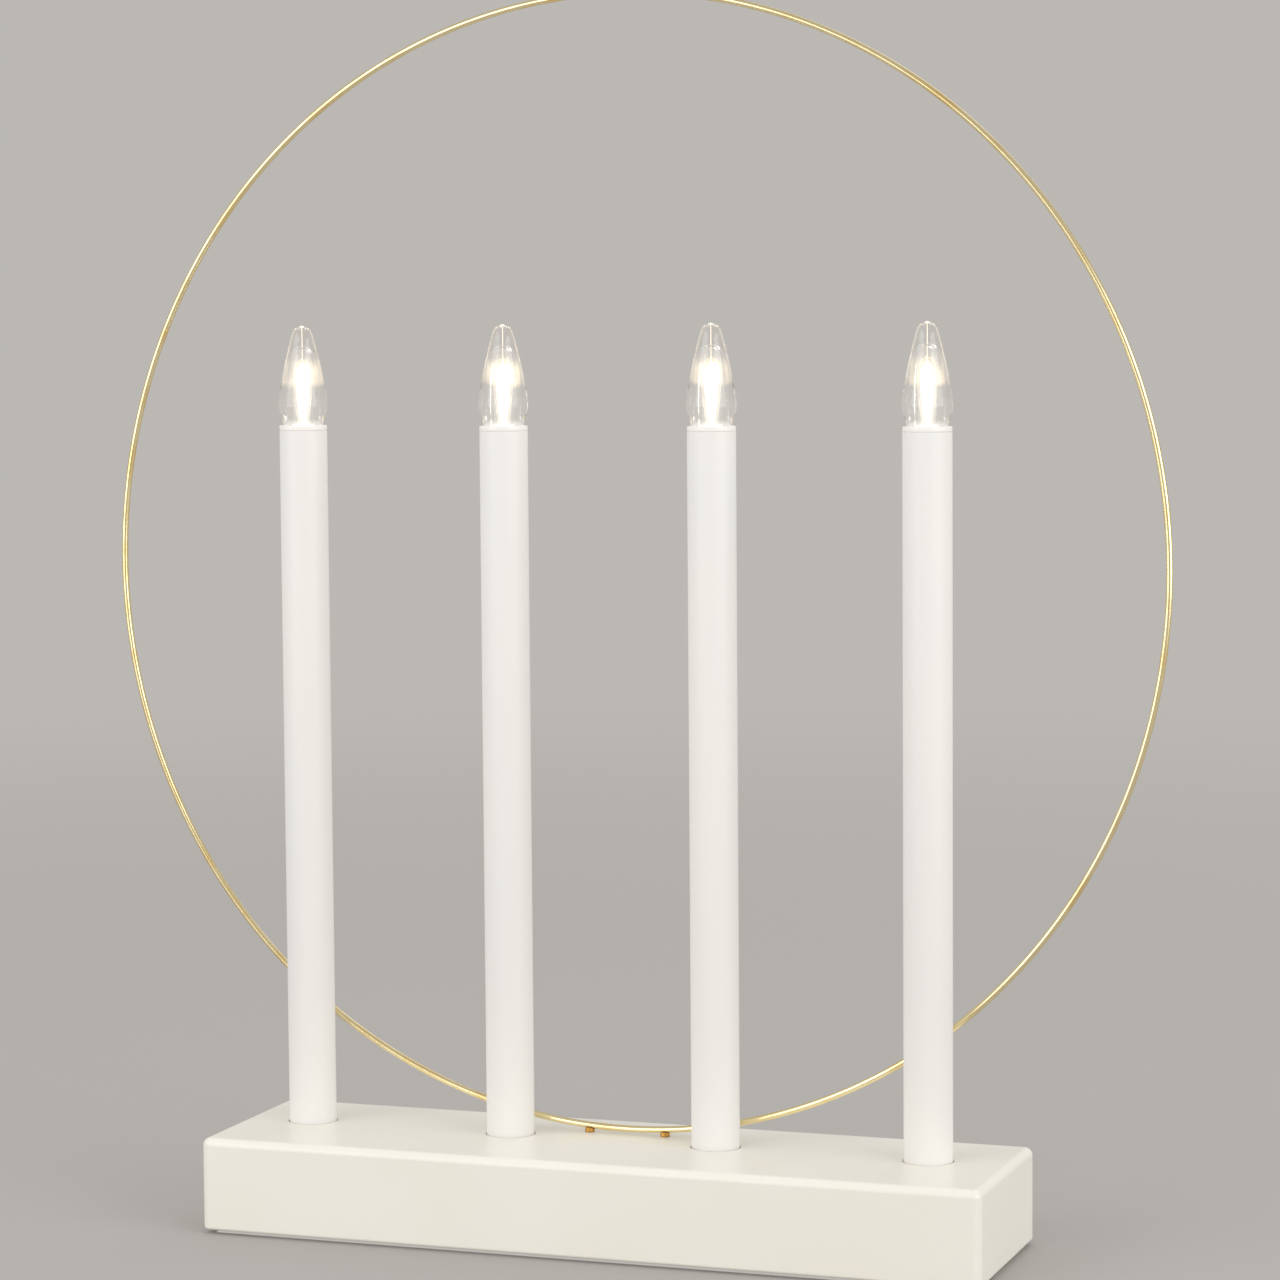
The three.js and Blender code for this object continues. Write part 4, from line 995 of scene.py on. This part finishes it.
@dataclass
class Candle:
    """One candle: its tube, the lit cap, the light guide over the LED and the clear flame."""

    number: int
    rim: float = 0.3 * MM
    tube_wall: float = 0.9 * MM
    cap_edge: float = 0.45 * MM
    cap_lower_edge: float = 0.27 * MM
    spigot_wall: float = 1.0 * MM
    spigot_length: float = 5.0 * MM
    boss_height: float = 0.8 * MM
    boss: float = 4.1 * MM
    led_hole: float = 1.8 * MM
    guide_foot: float = 2.2 * MM
    channel_foot: float = 1.3 * MM
    channel_share: float = 0.6
    glow_thread: float = 0.10 * MM
    glow_thread_below_tip: float = 1.2 * MM
    flame_neck: float = 7.4 * MM
    flame_bore: float = 4.4 * MM
    flame_solid_tip: float = 8.0 * MM

    def __post_init__(self) -> None:
        """Reads the candle's places from the frame."""
        self.tube = Span.of(f"candle_tube_{self.number}")
        self.cap = Span.of(f"candle_cap_{self.number}")
        self.guide = Span.of(f"light_guide_{self.number}")
        self.flame = Span.of(f"flame_{self.number}")
        self.axis = self.tube.axis

    def build(self) -> None:
        """Builds and dresses the candle's pieces."""
        self.build_tube()
        self.build_cap()
        self.build_guide()
        self.build_flame()
        coated(LedLens(), f"led_{self.number}")
        coated(WHITE_SHEATH, f"led_lead_{self.number}")

    def build_tube(self) -> None:
        """The open tube, with softly broken edges at both ends."""
        outside, rim = self.tube.size.x / 2, self.rim
        inside = outside - self.tube_wall
        low, high = self.tube.low.z, self.tube.high.z
        outline = [
            *arc((outside - rim, low + rim), rim, 270, 360),
            *arc((outside - rim, high - rim), rim, 0, 90),
            (inside, high), (inside, low), (outside - rim, low),
        ]
        piece = turned(f"candle_{self.number}_tube", outline, self.axis, 96)
        dressed(piece, CandleSheath(), Slot.CANDLE_WHITE, Body.HOLDER, f"candle_tube_{self.number}")

    def build_cap(self) -> None:
        """The disc on the tube, with its spigot below and its low boss above."""
        disc, seat, top = self.cap.size.x / 2, self.tube.high.z, self.flame.low.z
        spigot = disc - self.tube_wall - FIT
        bore = spigot - self.spigot_wall
        end, boss_top = seat - self.spigot_length, top + self.boss_height
        edge, lower = self.cap_edge, self.cap_lower_edge
        outline = [
            (self.led_hole, seat), (bore, seat), (bore, end), (spigot, end), (spigot, seat),
            *arc((disc - lower, seat + lower), lower, 270, 360),
            *arc((disc - edge, top - edge), edge, 0, 90),
            (self.boss, top), (self.boss, boss_top), (self.led_hole, boss_top), (self.led_hole, seat),
        ]
        piece = turned(f"candle_{self.number}_cap", outline, self.axis, 96)
        dressed(piece, LitCap(), Slot.CAP_WHITE, Body.HOLDER, f"candle_cap_{self.number}")

    def build_guide(self) -> None:
        """The bulb-shaped guide, with a socket over the LED."""
        low, tall, belly = self.guide.low.z, self.guide.size.z, self.guide.size.x / 2
        foot, socket = self.guide_foot, self.led_hole
        led_top = Span.of(f"led_{self.number}").high.z + FIT
        swelling = [(foot, 0), (foot, 0.2 * tall), (belly, 0.35 * tall), (belly, 0.62 * tall)]
        crown = [(belly, 0.62 * tall), (belly, 0.85 * tall), (0.65 * belly, tall), (0, tall)]
        side = [*bezier(swelling, 20), *bezier(crown, 20)[1:]]
        outline = [(0, led_top), (socket, led_top), (socket, low), *((x, low + y) for x, y in side)]
        piece = turned(f"candle_{self.number}_light_guide", outline, self.axis, 48)
        piece.visible_shadow = False
        dressed(piece, FrostedGuide(), Slot.LIGHT_GUIDE, Body.HOLDER, f"light_guide_{self.number}")
        self.build_channel(led_top, low, tall, belly)

    def build_channel(self, start: float, low: float, tall: float, belly: float) -> None:
        """A glowing shape in the guide: painted light that stands for the LED's light in it and is no real
        part. It ends above in a thin lit streak towards the flame's tip.
        """
        body, foot, glow_thread = self.channel_share * belly, self.channel_foot, self.glow_thread
        rise = [(foot, 0.08 * tall), (foot, 0.2 * tall), (body, 0.35 * tall), (body, 0.62 * tall)]
        fall = [(body, 0.62 * tall), (body, 0.8 * tall), (0.5 * body, 0.88 * tall), (glow_thread, 0.93 * tall)]
        side = [*bezier(rise, 16), *bezier(fall, 16)[1:]]
        end = self.flame.high.z - self.glow_thread_below_tip
        outline = [(0, start), *((x, low + y) for x, y in side), (glow_thread, end - glow_thread), (0, end)]
        piece = turned(f"candle_{self.number}_lit_channel", outline, self.axis, 32)
        piece.visible_shadow = False
        dressed(piece, LitCore(), Slot.LIGHT_GUIDE, Body.HOLDER)

    def build_flame(self) -> None:
        """The clear flame, hollow nearly to its tip."""
        low, tall, belly = self.flame.low.z, self.flame.size.z, self.flame.size.x / 2
        neck, bore, hollow = self.flame_neck, self.flame_bore, tall - self.flame_solid_tip
        outside = spline([
            (neck, 0), (neck + 0.36 * (belly - neck), 0.07 * tall), (belly, 0.19 * tall),
            (0.935 * belly, 0.345 * tall), (0.785 * belly, 0.55 * tall), (0.59 * belly, 0.755 * tall),
            (0.41 * belly, 0.92 * tall), (0.27 * belly, 0.975 * tall), (0, tall),
        ], 8)
        inside = spline([
            (0, hollow), (0.55 * bore, 0.95 * hollow), (0.9 * bore, 0.75 * hollow),
            (bore, 0.4 * hollow), (bore, 0),
        ], 8)
        outline = [(max(x, 0), low + y) for x, y in (*inside, *outside)]
        piece = turned(f"candle_{self.number}_flame", outline, self.axis, 96)
        piece.visible_shadow = False
        dressed(piece, ClearFlame(), Slot.CLEAR_PLASTIC, Body.HOLDER, f"flame_{self.number}")


@dataclass
class BrassRing:
    """The hoop of brass wire and the two studs that carry it."""

    span: Span = field(default_factory=lambda: Span.of("ring"))
    wire: float = 2.5 * MM
    shank: float = 1.25 * MM
    collar: float = 1.8 * MM
    shoulder: float = 0.3 * MM

    def build(self) -> None:
        """Builds the hoop and its studs, and coats the nuts."""
        hoop = self.hoop("brass_ring", self.wire)
        dressed(smoothed(hoop), PolishedBrass(), Slot.BRASS, Body.HOLDER, "ring")
        for number in range(1, STUDS + 1):
            self.build_stud(number)
            coated(NickelSteel(), f"stud_nut_{number}")

    def hoop(self, name: str, wire: float) -> Piece:
        """The hoop in its place, with the given wire."""
        size, finish = self.span.size, PolishedBrass().material()
        piece = hoop_rule().make(
            new_piece(name, [(0, 0, 0)], []),
            Width=size.x - self.wire, Height=size.z - self.wire, Wire=wire, Finish=finish,
        )
        piece.data.transform(Matrix.Translation(self.span.centre))
        return outward(piece)

    def build_stud(self, number: int) -> None:
        """A stud: a plain shank in the base and a collar that cups the wire."""
        span = Span.of(f"ring_stud_{number}")
        low, high, seat = span.low.z, span.high.z, Span.of("base_block").high.z
        shank, collar, shoulder = self.shank, self.collar, self.shoulder
        outline = [
            (0, low), (shank - shoulder, low), (shank, low + shoulder), (shank, seat),
            (collar - shoulder, seat), (collar, seat + shoulder), (collar, high - shoulder),
            (collar - shoulder, high), (0, high),
        ]
        stud = turned(f"ring_stud_{number}_turned", outline, span.axis, 32)
        carved(stud, [self.hoop("wire_groove", self.wire + 2 * FIT)])
        dressed(smoothed(stud), DULL_SHADED_BRASS, Slot.BRASS, Body.HOLDER, f"ring_stud_{number}")


def outward(piece: Piece) -> Piece:
    """Turns all faces of a closed piece outwards."""
    shape = bmesh.new()
    shape.from_mesh(piece.data)
    bmesh.ops.remove_doubles(shape, verts=shape.verts, dist=MERGE)
    bmesh.ops.recalc_face_normals(shape, faces=shape.faces)
    shape.to_mesh(piece.data)
    shape.free()
    return piece


@dataclass
class Underside:
    """The bottom plate with its screws and feet, the battery cover and the switch knob."""

    ease: float = 0.2 * MM
    knob_ease: float = 0.12 * MM
    screw_shank: float = 1.5 * MM
    screw_rim: float = 0.15 * MM
    screw_cone: float = 1.6 * MM
    screw_point: float = 3.0 * MM
    cross_depth: float = 0.9 * MM
    cross_length: float = 4.0 * MM
    cross_width: float = 0.8 * MM
    foot_edge: float = 0.4 * MM
    dimple: float = 2.8 * MM
    dimple_floor: float = 2.2 * MM

    def build(self) -> None:
        """Builds and dresses what shows from below."""
        plate = eased("bottom_plate", "base_plate", self.ease)
        dressed(plate, WHITE_MOULDING, Slot.WHITE_PLASTIC, Body.HOLDER, "bottom_plate")
        self.build_screws()
        self.build_feet()
        cover = eased("battery_cover", "battery_door", self.ease)
        dressed(cover, WHITE_MOULDING, Slot.WHITE_PLASTIC, Body.COVER, "battery_cover")
        knob = eased("switch_knob", "slide_knob", self.knob_ease)
        dressed(knob, BLACK_MOULDING, Slot.BLACK_PLASTIC, Body.KNOB, "switch_knob")

    def build_screws(self) -> None:
        """Countersunk screws with a cross recess, one copy at each place of the frame."""
        nodes = [f"plate_screw_{number}" for number in range(1, PLATE_SCREWS + 1)]
        first = Span.of(nodes[0])
        low, high, head, rim = first.low.z, first.high.z, first.size.x / 2, self.screw_rim
        outline = [
            (0, low), (head - rim, low), (head, low + rim), (self.screw_shank, low + self.screw_cone),
            (self.screw_shank, high - self.screw_point), (0, high),
        ]
        screw = turned("screw", outline, (0, 0), 32)
        arms = []
        for x, y in ((self.cross_length, self.cross_width), (self.cross_width, self.cross_length)):
            arm = Span(Vector((-x / 2, -y / 2, -MM)), Vector((x / 2, y / 2, low + self.cross_depth)))
            arms.append(Block(arm, 0.2 * MM, 0.1 * MM, 0.1 * MM, 2).build("arm"))
        carved(screw, arms)
        self.set_out("plate_screws", screw, nodes, NickelSteel(), Slot.STEEL)

    def build_feet(self) -> None:
        """Rubber feet with a chamfer below and a shallow dimple, one copy at each place."""
        nodes = [f"foot_{number}" for number in range(1, FEET + 1)]
        first = Span.of(nodes[0])
        radius, high, edge = first.size.x / 2, first.high.z, self.foot_edge
        outline = [
            (0, 0.25 * MM), (self.dimple_floor, 0.2 * MM), (self.dimple, 0), (radius - edge, 0),
            *arc((radius - edge, edge), edge, 270, 360), (radius, high), (0, high),
        ]
        self.set_out("rubber_feet", turned("foot", outline, (0, 0), 48), nodes, GREY_RUBBER, Slot.RUBBER)

    def set_out(self, name: str, pattern: Piece, nodes: Sequence[str], finish: Finish, slot: Slot) -> None:
        """Copies a pattern to the place of each of the nodes that it stands for, and dresses the copies."""
        places = [(*Span.of(node).axis, 0) for node in nodes]
        made = copies(name, pattern, places, finish)
        dressed(smoothed(made), finish, slot, Body.HOLDER, *nodes)


@dataclass
class PowerPack:
    """The battery box with its cells, contacts and leads, and the timer board with its switch."""

    ease: float = 0.2 * MM
    cell_edge: float = 0.6 * MM
    cell_hollow: float = 0.15 * MM
    hollow_floor: float = 3.4 * MM
    hollow_rim: float = 3.7 * MM
    nub: float = 2.7 * MM
    nub_foot: float = 2.9 * MM
    nub_length: float = 1.1 * MM
    nub_edge: float = 0.3 * MM

    def build(self) -> None:
        """Builds the cells and coats the nodes that stay."""
        box = eased("battery_box", "battery_housing", self.ease)
        dressed(box, BLACK_MOULDING, Slot.BLACK_PLASTIC, Body.HOLDER, "battery_box")
        for number in range(1, CELLS + 1):
            self.build_cell(number)
        coated(NickelSteel(), "contact_plus", "contact_minus", "bridge_left", "bridge_right")
        coated(NickelSteel(), "board_screw_1", "board_screw_2", "switch_case")
        coated(RED_SHEATH, "battery_lead_red")
        coated(BLACK_SHEATH, "battery_lead_black")
        coated(BoardMask(), "circuit_board")
        coated(BLACK_MOULDING, "timer_chip", "capacitor")

    def build_cell(self, number: int) -> None:
        """A cell with rolled edges and a nub, turned upright and then laid along X."""
        span = Span.of(f"cell_{number}")
        radius, length, edge = span.size.y / 2, span.size.x, self.cell_edge
        shoulder, hollow, bend = length - self.nub_length, self.cell_hollow, self.nub_edge
        outline = [
            (0, hollow), (self.hollow_floor, hollow), (self.hollow_rim, 0), (radius - edge, 0),
            *arc((radius - edge, edge), edge, 270, 360),
            *arc((radius - edge, shoulder - edge), edge, 0, 90),
            (self.nub_foot, shoulder), *arc((self.nub - bend, length - bend), bend, 0, 90), (0, length),
        ]
        cell = turned(f"cell_{number}_sleeved", outline, (0, 0), 64)
        towards = 1 if number % 2 else -1
        quarter = Matrix.Rotation(towards * math.pi / 2, 4, "Y")
        foot = Vector((span.low.x if towards > 0 else span.high.x, span.centre.y, span.centre.z))
        cell.data.transform(Matrix.Translation(foot) @ quarter)
        dressed(cell, CellSleeve(), Slot.CELL_CAN, Body.HOLDER, f"cell_{number}")


@dataclass(frozen=True)
class Lamp:
    """A square soft box that faces the object."""

    name: str
    place: Place
    side: float
    watts: float

    def hang(self, target: Vector) -> None:
        """Hangs the lamp so that it faces the target."""
        data = bpy.data.lights.new(self.name, "AREA")
        data.shape = "SQUARE"
        data.size = self.side
        data.energy = self.watts
        lamp = placed(self.name, data)
        lamp.location = self.place
        lamp.rotation_euler = (target - Vector(self.place)).to_track_quat("-Z", "Y").to_euler()
        lamp.visible_camera = False


@dataclass
class Studio:
    """Plain pale floor and backdrop, soft lamps and the photograph's camera."""

    floor_tone: Colour = (0.45, 0.43, 0.41)
    backdrop_tone: Colour = (0.50, 0.48, 0.455)
    ambient: float = 0.82
    floor_radius: float = 12.0
    fade_start: float = 0.5
    fade_end: float = 2.2
    opening_inset: float = 4.0 * MM
    lamps: tuple[Lamp, ...] = (
        Lamp("key", (-1.38, -1.86, 0.8), 1.9, 22.5),
        Lamp("fill", (2.1, -0.8, 0.6), 1.8, 25.5),
        Lamp("back", (0.3, 1.6, 1.5), 1.0, 2.5),
    )

    def build(self) -> None:
        """Sets the stage, the lamps, the world and the camera."""
        self.lay_floor()
        self.paint_world()
        target = Span.of("base_block", "ring").centre
        for lamp in self.lamps:
            lamp.hang(target)
        Viewpoint().set_up()
        bpy.context.scene.view_settings.view_transform = "Standard"

    def lay_floor(self) -> None:
        """A wide disc that takes the object's shadow and fades into the backdrop.

        It is clear from below and open under the base, so that views from below show a lit underside.
        """
        floor = turned("floor", [(self.floor_radius, 0), (0, 0)], (0, 0), 96)
        material = bpy.data.materials.new("pale_floor")
        recipe = Recipe(material)
        x, y = recipe.place(0), recipe.place(1)
        far = ((x * x + y * y) ** 0.5).rise(self.fade_start, self.fade_end)
        near = recipe.node("ShaderNodeBsdfDiffuse", Color=self.floor_tone)
        glow = recipe.node("ShaderNodeEmission", Color=self.backdrop_tone, Strength=1.0)
        opening = Span.of("base_block").size / 2 - self.opening_inset * Vector((1, 1, 0))
        under = abs(x).below(opening.x) * abs(y).below(opening.y)
        from_below = recipe.wire(recipe.node("ShaderNodeNewGeometry"), "Backfacing")
        clear = recipe.node("ShaderNodeBsdfTransparent")
        recipe.close(recipe.mixed(recipe.mixed(near, glow, far), clear, under.most(from_below)))
        floor.data.materials.append(material)

    def paint_world(self) -> None:
        """The backdrop for camera, gloss and clear pieces, and a plain ambient light for all else."""
        world = bpy.data.worlds.new("backdrop")
        bpy.context.scene.world = world
        recipe = Recipe(world)
        path = recipe.node("ShaderNodeLightPath")
        seen = recipe.wire(path, "Is Camera Ray").most(recipe.wire(path, "Is Glossy Ray"))
        seen = seen.most(recipe.wire(path, "Is Transmission Ray"))
        light = recipe.node("ShaderNodeBackground", Color=(1.0, 1.0, 1.0), Strength=self.ambient)
        tone = recipe.node("ShaderNodeBackground", Color=self.backdrop_tone, Strength=1.0)
        recipe.close(recipe.mixed(light, tone, seen))


@dataclass(frozen=True)
class Viewpoint:
    """The photograph's camera, found by fitting it to the object's edges."""

    place: Place = (0.486823, -1.347369, 0.341078)
    yaw: float = 19.417
    pitch: float = 4.656
    roll: float = -0.428
    focal_pixels: float = 3892.5
    image_pixels: float = 1280.0
    sensor: float = 36.0

    def set_up(self) -> None:
        """Makes the camera and sets it on the scene."""
        data = bpy.data.cameras.new("camera")
        data.sensor_width = self.sensor
        data.lens = self.focal_pixels / self.image_pixels * self.sensor
        camera = placed("camera", data)
        turn = Matrix.Rotation(math.radians(self.yaw), 4, "Z")
        tilt = Matrix.Rotation(math.radians(90 - self.pitch), 4, "X")
        roll = Matrix.Rotation(math.radians(self.roll), 4, "Z")
        camera.matrix_world = Matrix.Translation(self.place) @ turn @ tilt @ roll
        bpy.context.scene.camera = camera


def main() -> None:
    """Builds the holder's sub-assemblies in order, then the studio around it."""
    logging.basicConfig(level=logging.INFO, format="%(name)s: %(message)s")
    WoodenBase().build()
    Underside().build()
    PowerPack().build()
    for number in range(1, CANDLES + 1):
        Candle(number).build()
    BrassRing().build()
    Studio().build()


if __name__ == "__main__":
    main()
